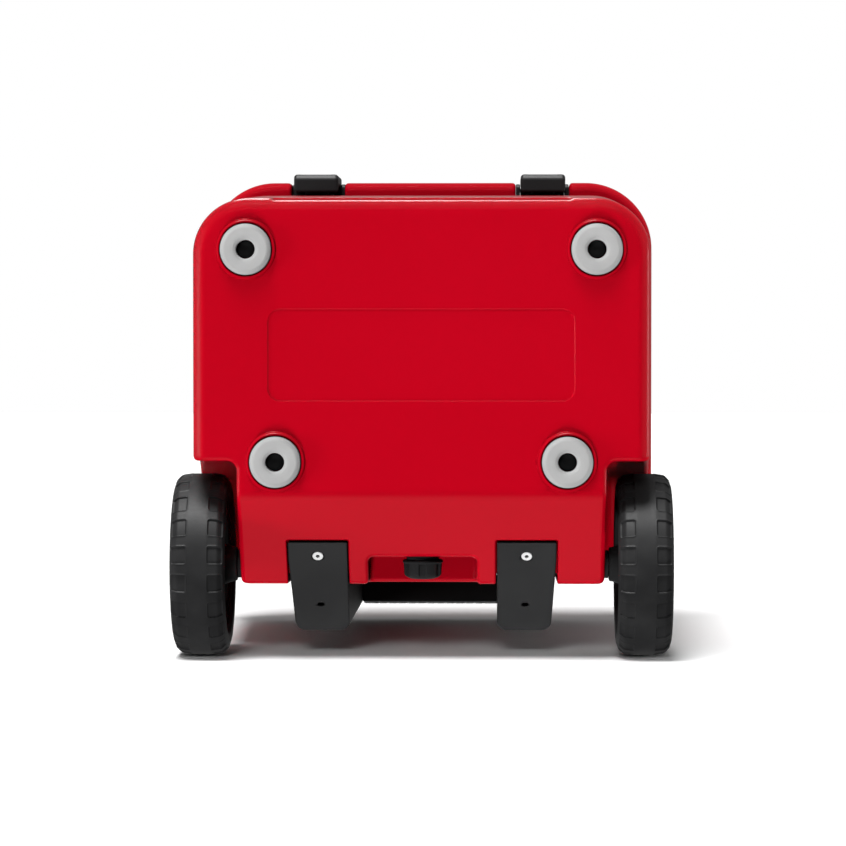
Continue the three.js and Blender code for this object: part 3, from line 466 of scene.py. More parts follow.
def button_field(x, y, z):
    body = both(button_outline(x, y), slab(z, BUTTON.low, BUTTON.high), 1.6)
    dish = np.sqrt((x * DISH.stretch) ** 2 + (y - DISH.y) ** 2 + (z - DISH.z) ** 2)
    return carved(body, dish - DISH.radius, 1.0)


def hinge_bracket_field(x, y, z):
    """The right hinge bracket: a plate down the tub's back wall and a barrel on top."""
    axis = (HINGE.y, HINGE.z)
    back = y - HINGE.back - np.clip((z - HINGE.low) * HINGE.lean, 0, HINGE.most)
    plate = both(both(HINGE.front - y, back, 1.5), slab(z, HINGE.low, RIM.z), 2.5)
    arm_front = HINGE_ARM.front + (z - RIM.z) * HINGE_ARM.lean - y
    arm = both(both(arm_front, back, 1.0), slab(z, HINGE_ARM.low, HINGE.z), 1.0)
    body = either(either(plate, arm, 2.0), disc(y, z, axis, HINGE.barrel), 1.0)
    body = both(body, slab(x, HINGE.inner, HINGE.outer), 1.5)
    return carved(body, disc(y, z, axis, HINGE.bore), 0.5)


def drain_plug_field(x, y, z):
    """Lobed knob with a flange and a stem into the fitting."""
    start, end, neck = DRAIN.start, DRAIN.end, KNOB.neck
    radius = disc(x, z, (0.0, DRAIN.z), 0.0)
    lobe = 2 * math.pi / KNOB.lobes
    turn = np.arctan2(x, DRAIN.z - z) / lobe
    from_groove = np.abs((turn + 0.5) % 1.0 - 0.5) * lobe
    groove = both(from_groove * 16.0 - KNOB.groove, KNOB.groove_in - radius, 0.8)
    knob = both(radius - KNOB.radius + (y - start) * KNOB.taper, slab(y, start, end), 1.2)
    # 0.51 and 0.58 are the cosines of these two cones' slopes
    end_cone = (radius - neck + (y - end + 3.2) * 1.7) * 0.51
    start_cone = (radius - neck - (y - start) * 1.4) * 0.58
    knob = both(knob, end_cone, 1.5)
    knob = carved(knob, both(groove, start + 3.6 - y, 0.8), 0.7)
    knob = carved(knob, both(radius - KNOB.dish, end - 1.2 - y, 0.6), 0.6)
    flange = both(radius - KNOB.flange, slab(y, start, start + 3.0), 1.0)
    flange = both(flange, start_cone, 0.5)
    stem = both(radius - KNOB.stem, slab(y, KNOB.stem_from, end - 4), 0.8)
    return either(either(knob, flange, 0.8), stem, 0.6)


# ---------------------------------------------------------------- meshes from fields

# How points are moved onto a field's surface, in mm
NET = Sizes(rounds=4, reach=0.03, longest_step=0.8, least_slope=0.05)
TINY = 1e-9


def lines(low, high, coarse, *zones):
    """Grid lines from low to high: coarse apart, closer in each (from, to, step) zone."""
    found = [low]
    while found[-1] < high:
        at = found[-1]
        step = min([coarse] + [s for a, b, s in zones if a - 1e-6 <= at < b])
        ahead = [a for a, b, s in zones if at + 1e-6 < a < at + step and s < step]
        found.append(min(ahead) if ahead else at + step)
    return np.array(found)


def mirrored(high, coarse, *zones):
    half = lines(coarse / 2, high, coarse, *zones)
    return np.concatenate([-half[::-1], half])


def around(at, reach, step):
    return (at - reach, at + reach, step)


def gradient(field, points):
    slopes = []
    for axis in range(3):
        ahead, behind = points.copy(), points.copy()
        ahead[:, axis] += NET.reach
        behind[:, axis] -= NET.reach
        slopes.append((field(*ahead.T) - field(*behind.T)) / (2 * NET.reach))
    return np.stack(slopes, 1)


def net(field, xs, ys, zs):
    """Points and quads on a field's surface: one point per grid cell that the surface
    crosses, moved onto the surface, and the field's own normals."""
    axes = [xs, ys, zs]
    grids = np.meshgrid(*(a.astype(np.float32) for a in axes), indexing="ij", sparse=True)
    shape = tuple(len(a) for a in axes)
    values = np.broadcast_to(field(*grids), shape)
    inside = values < 0
    cells = tuple(n - 1 for n in shape)
    all_quads, all_points = [], []
    for axis in range(3):
        b, c = (axis + 1) % 3, (axis + 2) % 3
        low = [slice(None)] * 3
        high = [slice(None)] * 3
        low[axis], high[axis] = slice(0, -1), slice(1, None)
        at = np.argwhere(inside[tuple(low)] != inside[tuple(high)])
        inner = (at[:, b] > 0) & (at[:, b] < cells[b]) & (at[:, c] > 0) & (at[:, c] < cells[c])
        at = at[inner]
        beyond = at.copy()
        beyond[:, axis] += 1
        here = values[tuple(at.T)].astype(float)
        there = values[tuple(beyond.T)].astype(float)
        point = np.stack([axes[k][at[:, k]] for k in range(3)], 1)
        point[:, axis] += here / (here - there) * (axes[axis][beyond[:, axis]] - point[:, axis])
        corners = []
        for db, dc in ((-1, -1), (0, -1), (0, 0), (-1, 0)):
            cell = at.copy()
            cell[:, b] += db
            cell[:, c] += dc
            corners.append(np.ravel_multi_index(tuple(cell.T), cells))
        quad = np.stack(corners, 1)
        quad[here > 0] = quad[here > 0][:, ::-1]
        all_quads.append(quad)
        all_points.append(np.repeat(point[:, None], 4, 1))
    quads = np.concatenate(all_quads)
    crossings = np.concatenate(all_points).reshape(-1, 3)
    _, index = np.unique(quads.ravel(), return_inverse=True)
    count = np.bincount(index)
    points = np.stack([np.bincount(index, crossings[:, k]) / count for k in range(3)], 1)
    for _ in range(NET.rounds):
        slopes = gradient(field, points)
        steep = np.maximum((slopes**2).sum(1), NET.least_slope)
        step = (field(*points.T) / steep)[:, None] * slopes
        size = np.maximum(np.linalg.norm(step, axis=1, keepdims=True), TINY)
        points -= step * np.minimum(1.0, NET.longest_step / size)
    normals = gradient(field, points)
    normals /= np.maximum(np.linalg.norm(normals, axis=1, keepdims=True), TINY)
    return points, index.reshape(-1, 4), normals


def mesh_of(name, points, quads, normals=None):
    mesh = bpy.data.meshes.new(name)
    mesh.vertices.add(len(points))
    mesh.vertices.foreach_set("co", (np.asarray(points) * MM).astype(np.float32).ravel())
    mesh.loops.add(quads.size)
    mesh.loops.foreach_set("vertex_index", quads.astype(np.int32).ravel())
    mesh.polygons.add(len(quads))
    starts = np.arange(0, quads.size, quads.shape[1], dtype=np.int32)
    mesh.polygons.foreach_set("loop_start", starts)
    mesh.update(calc_edges=True)
    mesh.polygons.foreach_set("use_smooth", np.ones(len(quads), bool))
    if normals is not None:
        mesh.normals_split_custom_set_from_vertices(normals.astype(np.float32))
    return mesh


def add_object(name, data):
    thing = bpy.data.objects.new(name, data)
    bpy.context.scene.collection.objects.link(thing)
    return thing


def piece(name, body, shape, material, stands_for=()):
    """Adds one visible piece made of (points, quads, normals), in its material's slot."""
    thing = add_object(name, mesh_of(name, *shape))
    thing.data.materials.append(material)
    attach(thing, body)
    if stands_for:
        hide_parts(*stands_for)


def flipped(shape, side):
    """The right side's shape, or its mirror image for the left side."""
    points, quads, normals = shape
    if side > 0:
        return shape
    mirror = np.array([-1.0, 1.0, 1.0])
    return points * mirror, quads[:, ::-1], None if normals is None else normals * mirror


def moved(shape, by):
    points, quads, normals = shape
    return points + np.array(by, float), quads, normals


def beside(shape, side):
    """A latch's part, drawn about x = 0, at the latch on that side."""
    return moved(shape, (side * LATCH.x, 0, 0))


def add_pairs(rows, place=flipped):
    """Adds each row's piece on the left, then on the right. {} in a name is the side."""
    for side_name, side in SIDES.items():
        for name, body, shape, material, *nodes in rows:
            piece(name.format(side_name), body.format(side_name), place(shape, side), material,
                  [node.format(side_name) for node in nodes])


# ---------------------------------------------------------------- turned shapes

# Least radius of a corner in mm, its share of the shorter side at most, and its angle steps
ROUNDING = Sizes(least=0.15, share=0.48, step=math.radians(11))


def unit(vector):
    return vector / np.linalg.norm(vector)


def rounded_outline(corners, closed):
    """Points and outward normals along an outline of (u, v, radius) corners, anticlockwise."""
    at = np.array([corner[:2] for corner in corners], float)
    points, normals = [], []
    for i, (_, _, radius) in enumerate(corners):
        here = at[i]
        if not closed and i in (0, len(at) - 1):
            run = unit(at[1] - at[0] if i == 0 else at[-1] - at[-2])
            points.append(here)
            normals.append(np.array([run[1], -run[0]]))
            continue
        before, after = at[i - 1] - here, at[(i + 1) % len(at)] - here
        room = ROUNDING.share * min(np.linalg.norm(before), np.linalg.norm(after))
        before, after = unit(before), unit(after)
        half = math.acos(np.clip(before @ after, -1, 1)) / 2
        reach = min(max(radius, ROUNDING.least) / math.tan(half), room)
        radius = reach * math.tan(half)
        centre = here + unit(before + after) * radius / math.sin(half)
        start, end = here + before * reach - centre, here + after * reach - centre
        turn = math.atan2(start[0] * end[1] - start[1] * end[0], start @ end)
        steps = max(2, math.ceil(abs(turn) / ROUNDING.step))
        for angle in np.linspace(0, turn, steps + 1):
            cosine, sine = math.cos(angle), math.sin(angle)
            arm = np.array([[cosine, -sine], [sine, cosine]]) @ start
            points.append(centre + arm)
            normals.append(arm / radius * (1 if turn > 0 else -1))
    return np.array(points), np.array(normals)


def lathe(corners, closed, turns=72):
    """A turned shape about +Z from (radius, height, rounding) corners, anticlockwise."""
    outline, slopes = rounded_outline(corners, closed)
    angles = np.arange(turns) * 2 * math.pi / turns
    cosine, sine = np.cos(angles)[:, None], np.sin(angles)[:, None]
    up = np.ones((turns, 1))
    points, normals = (
        np.stack([cosine * row[:, 0], sine * row[:, 0], up * row[:, 1]], 2)
        for row in (outline, slopes)
    )
    return woven(points, normals, closed)


def woven(points, normals, closed):
    """Quads over a (turn, step) table of points whose turns wrap round."""
    turns, steps = points.shape[:2]
    spans = steps if closed else steps - 1
    i, k = np.meshgrid(np.arange(turns), np.arange(spans), indexing="ij")
    ahead, above = (i + 1) % turns, (k + 1) % steps
    here, there = i * steps, ahead * steps
    quads = np.stack([here + k, there + k, there + above, here + above], 2)
    flat = None if normals is None else normals.reshape(-1, 3)
    return points.reshape(-1, 3), quads.reshape(-1, 4), flat


def placed(shape, axis, at):
    """Turns a +Z shape to +X, to +Y or to the facet's outward side, and moves it."""
    points, quads, normals = shape
    turn = np.array({
        "x": [[0, 0, 1], [0, 1, 0], [-1, 0, 0]],
        "y": [[1, 0, 0], [0, 0, 1], [0, -1, 0]],
        "facet": [[1, 0, 0], [0, SLOPE_COSINE, -SLOPE_SINE], [0, SLOPE_SINE, SLOPE_COSINE]],
    }[axis], float)
    return points @ turn.T + np.array(at, float), quads, normals @ turn.T


def on_axle(corners, closed, turns=48):
    return placed(lathe(corners, closed, turns), "x", (0, AXLE.y, AXLE.z))


def ring_corners(inner, outer, low, high, inner_edge, outer_edge):
    return [(inner, low, inner_edge), (outer, low, outer_edge), (outer, high, outer_edge),
            (inner, high, inner_edge)]


def pin_corners(radius, low, high, edge):
    return [(0.0, low, 0), (radius, low, edge), (radius, high, edge), (0.0, high, 0)]


def tyre_shape():
    """The right tyre: a turned body with raised pads on both shoulders."""
    inner, outer, top, pads = TYRE.inner, TYRE.outer, TYRE.radius, TYRE.pads
    low = top - TREAD.below_top
    side = [
        (TYRE.bore, 4.5, 1.0), (66.0, 1.2, 4.0), (73.0, 0.2, 6.0), (78.5, 2.4, 4.0),
        (low - 1.0, 6.5, 5.0), (low + 0.6, 17.0, 14.0),
    ]
    near = [(radius, -inner - inset, edge) for radius, inset, edge in side]
    away = [(radius, inset - outer, edge) for radius, inset, edge in side]
    corners = away[:1] + near + away[:0:-1]
    outline, slopes = even_out(*rounded_outline(corners, True), 0.75)
    across = -outline[:, 1]
    off = np.abs(across - (inner + outer) / 2)
    reach = off + np.maximum(0, TREAD.side_from - outline[:, 0]) * 0.9
    pitch = 2 * math.pi / pads
    # Steps along one pad's pitch, close together at its two ends
    steps = [(0.0, 0.16, 3), (0.16, 0.24, 7), (0.24, 0.76, 6), (0.76, 0.84, 7), (0.84, 1.0, 3)]
    part = np.concatenate([np.linspace(*step, endpoint=False) for step in steps])
    angles = (np.arange(pads)[:, None] + part).ravel() * pitch
    along = np.tile((np.abs(part - 0.5) - TREAD.pad_share) * pitch * top, pads)[:, None]
    shoulder = np.abs(reach - TREAD.pad_middle)[None, :] - TREAD.pad_half
    edge = both(along, shoulder, 1.5)
    raised = np.clip(0.5 - edge / TREAD.pad_edge, 0, 1) * TREAD.pad_lift
    groove = np.exp(-((edge - TREAD.groove_at) / TREAD.groove) ** 2) * TREAD.groove
    lift = np.where(outline[None, :, 0] > TREAD.lowest, raised - groove, 0.0)
    radius = np.minimum(outline[None, :, 0] + slopes[None, :, 0] * lift, top)
    x = np.clip(across[None, :] - slopes[None, :, 1] * lift, inner, outer)
    cosine, sine = np.cos(angles)[:, None], np.sin(angles)[:, None]
    points = np.stack([x, AXLE.y + radius * cosine, AXLE.z + radius * sine], 2)
    points, quads, _ = woven(points, None, True)
    return points, quads[:, ::-1], None


def even_out(outline, slopes, step):
    """Adds points along a closed outline so that none are further apart than step."""
    points, normals = [], []
    for a, b, m, n in zip(outline, np.roll(outline, -1, 0), slopes, np.roll(slopes, -1, 0)):
        parts = max(1, math.ceil(np.linalg.norm(b - a) / step))
        for t in np.arange(parts) / parts:
            normal = m + (n - m) * t
            points.append(a + (b - a) * t)
            normals.append(normal / np.linalg.norm(normal))
    return np.array(points), np.array(normals)


def tube_shape(tube):
    """A hollow handle tube of stadium section, leaning with the columns, on the right."""
    low, high, lean = tube.low, tube.high, TUBE.lean
    rows = [(0.0, low), (0.0, high - 0.4), (0.4, high), (TUBE_WALL, high), (TUBE_WALL, low)]
    turn = np.linspace(0, 2 * math.pi, 64, endpoint=False)
    circle = np.stack([np.cos(turn), np.sin(turn)], 1)
    shift = np.sign(np.round(circle[:, 0], 9)) * (tube.width - tube.depth) / 2
    points = []
    for inset, height in rows:
        ring = circle * (tube.depth / 2 - inset)
        y = TUBE.y + ring[:, 1] * math.cos(lean) + height * math.sin(lean)
        z = TUBE.z - ring[:, 1] * math.sin(lean) + height * math.cos(lean)
        points.append(np.stack([TUBE.x + ring[:, 0] + shift, y, z], 1))
    return woven(np.stack(points, 1), None, True)


def column_screw_shape():
    """A round head with a socket in it, facing -Z at z = 0, on a shank."""
    return lathe([
        (0.0, SCREW.deep, 0), (SCREW.socket, SCREW.deep, 0.2), (SCREW.socket + 0.3, 0.0, 0.2),
        (SCREW.radius, 0.0, 0.7), (SCREW.radius, SCREW.head, 0.3), (SCREW.shank, SCREW.head, 0.2),
        (SCREW.shank, SCREW.length, 0.4), (0.0, SCREW.length, 0),
    ], False, 48)


# ---------------------------------------------------------------- materials


def new_material(name):
    material = bpy.data.materials.new(name)
    material.use_nodes = True
    return material, material.node_tree, material.node_tree.nodes["Principled BSDF"]


def add_node(tree, kind, values=()):
    """A new node of a kind, with values for some of its inputs."""
    node = tree.nodes.new(f"ShaderNode{kind}")
    set_inputs(node, values)
    return node


def set_inputs(node, values):
    for name, value in dict(values).items():
        node.inputs[name].default_value = value


def noise(tree, scale, detail, stretch=(1, 1, 1)):
    coords = add_node(tree, "TexCoord")
    mapping = add_node(tree, "Mapping", {"Scale": stretch})
    texture = add_node(tree, "TexNoise", {"Scale": scale, "Detail": detail})
    tree.links.new(coords.outputs["Object"], mapping.inputs["Vector"])
    tree.links.new(mapping.outputs["Vector"], texture.inputs["Vector"])
    return texture.outputs["Fac"]


def between(tree, value, low, high):
    """Stretches the middle of a noise's range over low to high."""
    limits = {"From Min": 0.3, "From Max": 0.7, "To Min": low, "To Max": high}
    spread = add_node(tree, "MapRange", limits)
    tree.links.new(value, spread.inputs["Value"])
    return spread.outputs["Result"]


def mixed(tree, factor, first, second):
    mix = add_node(tree, "Mix")
    mix.data_type = "RGBA"
    mix.inputs[6].default_value = (*first, 1)
    mix.inputs[7].default_value = (*second, 1)
    tree.links.new(factor, mix.inputs[0])
    return mix.outputs[2]


def surface(name, dark, light, rough, patches=9.0, grain=900.0, depth=0.00005, strength=0.25,
            specular=0.5, metallic=0.0, stretch=(1, 1, 1)):
    """A moulded, turned or drawn surface: patchy colour, uneven roughness and a fine grain.
    Its material takes the given name."""
    material, tree, shader = new_material(name)
    broad = noise(tree, patches, 3.0)
    fine = noise(tree, grain, 2.0, stretch)
    colour = mixed(tree, between(tree, broad, 0, 1), dark, light)
    tree.links.new(colour, shader.inputs["Base Color"])
    tree.links.new(between(tree, fine, *rough), shader.inputs["Roughness"])
    bump = add_node(tree, "Bump", {"Strength": strength, "Distance": depth})
    tree.links.new(fine, bump.inputs["Height"])
    tree.links.new(bump.outputs["Normal"], shader.inputs["Normal"])
    set_inputs(shader, {"Specular IOR Level": specular, "Metallic": metallic})
    return material


RED = surface("red_shell", (0.410, 0.0004, 0.0080), (0.430, 0.0006, 0.0092), (0.22, 0.27),
              patches=5, grain=500, depth=0.00002, strength=0.06, specular=0.26)
BLACK = surface("black_plastic", (0.0150, 0.0150, 0.0155), (0.0200, 0.0200, 0.0205), (0.40, 0.52),
                patches=20, grain=1500, strength=0.25, specular=0.40)
TYRE_RUBBER = surface("tyre_rubber", (0.015, 0.015, 0.0155), (0.023, 0.023, 0.0235), (0.46, 0.60),
                      patches=35, grain=1200, depth=0.00008, strength=0.35, specular=0.4)
GRIP_RUBBER = surface("grip_rubber", (0.018, 0.018, 0.019), (0.026, 0.026, 0.027), (0.6, 0.75),
                      patches=30, grain=1600, depth=0.0001, strength=0.5)
FOOT_RUBBER = surface("foot_rubber", (0.355, 0.355, 0.355), (0.39, 0.39, 0.388), (0.5, 0.62),
                      patches=40, grain=1800, depth=0.00005, strength=0.3, specular=0.35)
SEAL = surface("seal_rubber", (0.05, 0.05, 0.052), (0.075, 0.075, 0.077), (0.6, 0.75), patches=30)
BEARING = surface("bearing_plastic", (0.16, 0.16, 0.165), (0.22, 0.22, 0.225), (0.4, 0.5))
STEEL = surface("steel", (0.60, 0.60, 0.61), (0.72, 0.72, 0.73), (0.24, 0.4), patches=60,
                grain=300, metallic=1.0, stretch=(1, 6, 1))
PALE_STEEL = surface("screw_steel", (0.78, 0.78, 0.78), (0.9, 0.9, 0.9), (0.3, 0.42), patches=90,
                     grain=700, metallic=0.25)
ALUMINIUM = surface("aluminium_tube", (0.42, 0.43, 0.44), (0.52, 0.53, 0.54), (0.28, 0.42),
                    patches=20, grain=700, metallic=1.0, stretch=(1, 1, 0.02))
FOAM = surface("foam", (0.74, 0.63, 0.36), (0.82, 0.72, 0.45), (0.85, 0.95), patches=120,
               grain=700, depth=0.0006, strength=0.8, specular=0.2)

# ---------------------------------------------------------------- pieces
# Grid lines are closer together where a shape has its edges.


def add_tub():
    xs = mirrored(224, 9, around(NOTCH.half, 6, 1.3), around(68, 3.5, 1.1),
                  around(125, 3.5, 1.1), (107, 160, 3.2), (125, 143, 1.3),
                  (160, 170, 1.3), (170, 196, 3.2), (196, 222.5, 1.3), (0, 15, 2.2))
    ys = lines(-218.3, 174, 9, (-218.3, -170, 1.4), (-170, -118, 3.2),
               around(PANEL.front, 4, 1.2), around(PANEL.rear, 4, 1.2), (-84, -78, 3),
               (-20, -10, 3), (18, 44, 3.2), (44, 56, 1.3), (56, 74, 3), (74, 98, 2.4),
               (98, 116, 4), (116, 126, 1.1), (126, 136, 3), (136, 173.8, 1.35))
    zs = lines(4.1, 447, 12, (4.1, 32, 1.35), (32, 55, 3), (55, 70, 1.4), (70, 93, 2.2),
               (93, 126, 1.5), (126, 178, 4), (178, 188, 2), (394, 406, 1.6), (406, 428, 4),
               (428, 446, 1.2))
    piece("tub", "tub", net(tub_field, xs, ys, zs), RED, ["tub_shell"])


def add_feet():
    """Each foot: a red boss, a pale ring in it and a black screw down the middle."""
    low, pocket, hole, radius = FOOT.low, FOOT.pocket, FOOT.hole, FOOT.radius
    boss = lathe([
        (29.6, 14.0, 0.3), (27.0, 17.6, 0.3), (pocket, 16.9, 0.3), (pocket + 0.1, low, 1.1),
        (26.6, low + 0.2, 1.5), (27.7, 9.05, 1.3), (29.6, 9.6, 0),
    ], True, 120)
    pad = lathe([
        (hole, 13.7, 0.2), (hole + 0.1, 1.6, 2.2), (11.4, 0.25, 2.2), (14.0, 0.0, 3.0),
        (20.0, 0.0, 4.0), (radius, 2.6, 2.6), (radius, 16.7, 0.3), (hole, 16.7, 0.3),
    ], True, 120)
    bolt = lathe([
        (0.0, 0.9, 0), (5.0, 0.0, 1.5), (7.9, 0.0, 0.9), (7.9, 3.2, 0.3), (4.0, 3.2, 0.2),
        (4.0, 27.8, 0.4), (0.0, 27.8, 0),
    ], False, 48)
    for name, (x, y) in FOOT_PLACES.items():
        piece(f"foot_boss_{name}", "tub", moved(boss, (x, y, 0)), RED)
        piece(f"foot_pad_{name}", "tub", moved(pad, (x, y, 0)), FOOT_RUBBER, [f"foot_{name}"])
        piece(f"foot_bolt_{name}", "tub", moved(bolt, (x, y, FOOT.bolt)), BLACK,
              [f"foot_screw_{name}"])


def add_wheels():
    fine = 1.5
    rim = net(rim_field, lines(171, 228.5, fine), lines(82, 209, fine), lines(24, 152, fine))
    cap = on_axle([
        (0.0, 223.6, 0), (20.0, 223.6, 0.3), (20.0, 226.4, 0.8), (17.8, 227.4, 0.8),
        (16.6, 226.7, 0.5), (15.4, 227.3, 0.5), (13.0, 229.0, 3.0), (0.0, 229.0, 0),
    ], False, 64)
    bearing = on_axle(ring_corners(6.7, 9.1, 173.3, 218.7, 0.3, 0.3), True)
    spacer = on_axle(ring_corners(6.7, 13.0, WELL.inner + 0.3, 172.6, 0.3, 0.4), True)
    pin = on_axle([
        (0.0, AXLE.start, 0), (AXLE.radius, AXLE.start, 0.8), (AXLE.radius, AXLE.head, 0.2),
        (12.0, AXLE.head, 0.4), (12.0, AXLE.end, 0.8), (0.0, AXLE.end, 0),
    ], False)
    add_pairs([
        ("tyre_tread_{}", "{}_wheel", tyre_shape(), TYRE_RUBBER, "tyre_{}"),
        ("rim_{}", "{}_wheel", rim, BLACK, "wheel_rim_{}", "wheel_spider_{}"),
        ("cap_{}", "{}_wheel", cap, BLACK, "hub_cap_{}"),
        ("bearing_{}", "{}_wheel", bearing, BEARING, "wheel_bearing_{}"),
        ("spacer_{}", "tub", spacer, BLACK, "axle_spacer_{}"),
        ("axle_pin_{}", "tub", pin, STEEL, "axle_{}"),
    ])


def add_columns():
    xs = lines(66.5, 127, 2.0, (66.5, 72.5, 1.0), (80, 86, 1.2), (107, 126.5, 1.1))
    ys = lines(120.1, 217, 1.6, (120.1, 126, 1.0), (174, 181, 0.9), (188, 217, 1.3))
    zs = lines(36.5, 468, 11, (36.5, 112, 1.3), (112, 120, 2), (436, 445, 1.5), (445, 460, 4),
               (460, 468, 1.1))
    screw = placed(column_screw_shape(), "facet", (TUBE.x, SCREW.y, slope_z(SCREW.y)))
    add_pairs([
        ("handle_column_{}", "tub", net(column_field, xs, ys, zs), BLACK, "column_{}"),
        ("column_bolt_{}", "tub", screw, PALE_STEEL, "column_screw_{}"),
    ])
    bridge = net(bridge_field, mirrored(70, 8, (62, 70, 1.5)), lines(171, 215, 1.3),
                 lines(421.5, 454.5, 1.3))
    piece("handle_bridge", "tub", bridge, BLACK, ["column_bridge"])


def add_handle():
    collar = net(collar_field, lines(76, 117, 1.1), lines(185, 216, 1.1), lines(463.3, 475, 0.9))
    add_pairs([
        ("lower_tube_{}", "lower_tubes", tube_shape(OUTER_TUBE), ALUMINIUM, "outer_tube_{}"),
        ("collar_{}", "lower_tubes", collar, BLACK, "tube_collar_{}"),
        ("upper_tube_{}", "upper_handle", tube_shape(INNER_TUBE), ALUMINIUM, "inner_tube_{}"),
    ])
    xs = mirrored(117, 4, (70, 100, 1.6), (100, 117, 1.3), (10, 16, 1.2))
    grip = net(grip_field, xs, lines(183.5, 216, 1.2), lines(471.5, 506, 1.2))
    piece("grip_bar", "upper_handle", grip, BLACK, ["handle_grip"])
    cover = net(grip_cover_field, mirrored(73, 1.2), lines(182, 216, 1.1),
                lines(474, 506, 1.1))
    piece("grip_sleeve", "upper_handle", cover, GRIP_RUBBER, ["grip_cover"])
    button = net(button_field, mirrored(15.5, 0.8), lines(190, 211.5, 0.8),
                 lines(493.5, 507, 0.7))
    piece("thumb_button", "release", button, BLACK, ["release_button"])


def add_lid():
    xs = mirrored(232, 10, around(88, 6, 1.2), (94, 137, 6), around(143, 7, 1.2),
                  around(139, 5, 1.2), around(171, 8, 1.3), (182, 216, 4.5),
                  (216, 231, 1.4))
    ys = lines(-226.7, 181, 10, (-226.7, -198, 1.2), (-198, -178, 4.5), around(-170, 6, 1.5),
               (104, 116, 1.6), around(125, 5, 1.5), (130, 145, 4.5), (145, 181, 1.4))
    zs = lines(434.3, 500, 4, (434.3, 456, 1.3), (486, 500, 1.3))
    piece("lid", "lid", net(lid_field, xs, ys, zs), RED, ["lid_shell"])
    bracket = net(hinge_bracket_field, lines(138, 172.5, 1.3), lines(150.6, 177, 1.2),
                  lines(396.5, 496.5, 1.4))
    pin = lathe(pin_corners(HINGE.pin, HINGE.pin_start, HINGE.pin_end, 0.7), False, 40)
    pin = placed(pin, "x", (0, HINGE.y, HINGE.z))
    add_pairs([
        ("hinge_{}", "tub", bracket, BLACK, "hinge_bracket_{}"),
        ("lid_pin_{}", "lid", pin, STEEL, "hinge_pin_{}"),
    ])


def add_latches():
    arm = net(latch_field, mirrored(25, 1.2), lines(-233, -207.5, 1.05),
              lines(399.5, 487, 1.15))
    base = net(latch_base_field, mirrored(29.5, 1.2), lines(-225.2, -200.5, 1.0),
               lines(447.5, 494.5, 1.2))
    keeper = net(keeper_field, mirrored(20, 1.2), lines(-217.5, -199.5, 1.05),
                 lines(408.5, 439.0, 1.15))
    pin = lathe(pin_corners(PIVOT.pin, -PIVOT.half, PIVOT.half, 0.5), False, 32)
    pin = placed(pin, "x", (0, PIVOT.y, PIVOT.z))
    add_pairs([
        ("latch_arm_{}", "{}_latch", arm, BLACK, "latch_{}"),
        ("latch_seat_{}", "lid", base, BLACK, "latch_base_{}"),
        ("latch_axle_{}", "lid", pin, STEEL, "latch_pin_{}"),
        ("keeper_{}", "tub", keeper, BLACK, "latch_keeper_{}"),
    ], beside)


def add_drain():
    plug = net(drain_plug_field, mirrored(21.5, 0.9), lines(119.5, 163, 0.95),
               lines(58.3, 102, 0.9))
    piece("drain_cap_knob", "drain_cap", plug, BLACK, ["drain_plug"])
    sleeve = lathe([
        (9.5, 113.0, 0.4), (12.0, 113.0, 0.6), (12.0, 137.0, 0.2), (16.4, 137.0, 0.3),
        (16.6, 138.5, 0.4), (9.5, 138.5, 0.4),
    ], True, 64)
    washer = lathe(ring_corners(9.9, 15.0, 138.8, 140.3, 0.4, 0.6), True, 64)
    at = (0, 0, DRAIN.z)
    piece("drain_sleeve", "tub", placed(sleeve, "y", at), BLACK, ["drain_fitting"])
    piece("drain_washer", "drain_seal", placed(washer, "y", at), SEAL, ["drain_gasket"])


def paint_carried_nodes():
    """Gives each CAD node that stays in view its own material."""
    looks = {
        "tub_insulation": FOAM, "lid_insulation": FOAM, "tub_fill_plug": RED,
        "lid_fill_plug": RED, "lid_gasket": SEAL, "release_yoke": STEEL, "button_spring": STEEL,
    }
    for name, material in looks.items():
        node = frame["nodes"][name]
        node.data.materials.clear()
        node.data.materials.append(material)


# ---------------------------------------------------------------- stage, light and camera


def one_sided(name, glow):
    """A pale floor that only shows from its front."""
    material, tree, shader = new_material(name)
    set_inputs(shader, {"Base Color": (0.96, 0.96, 0.96, 1), "Roughness": 0.9,
                        "Specular IOR Level": 0.0, "Emission Color": (1, 1, 1, 1),
                        "Emission Strength": glow})
    clear = add_node(tree, "BsdfTransparent")
    geometry = add_node(tree, "NewGeometry")
    mix = add_node(tree, "MixShader")
    tree.links.new(geometry.outputs["Backfacing"], mix.inputs["Fac"])
    tree.links.new(shader.outputs["BSDF"], mix.inputs[1])
    tree.links.new(clear.outputs["BSDF"], mix.inputs[2])
    tree.links.new(mix.outputs["Shader"], tree.nodes["Material Output"].inputs["Surface"])
    return material


def floor(name, corners, material):
    mesh = bpy.data.meshes.new(name)
    mesh.from_pydata(corners, [], [(0, 1, 2, 3)])
    mesh.materials.append(material)
    plane = add_object(name, mesh)
    for kind in ("diffuse", "glossy", "transmission", "shadow"):
        setattr(plane, f"visible_{kind}", False)


def add_stage():
    """A floor just behind the tyres, where the cooler lies, and one under its feet."""
    wide = 9.0
    behind = (AXLE.y + TYRE.radius + 0.1) * MM
    square = [(-wide, -wide), (wide, -wide), (wide, wide), (-wide, wide)]
    floor("lying_floor", [(x, behind, z) for x, z in square], one_sided("pale_floor", 0.0))
    floor("standing_floor", [(x, y, 0) for x, y in square], one_sided("pale_ground", 0.2))


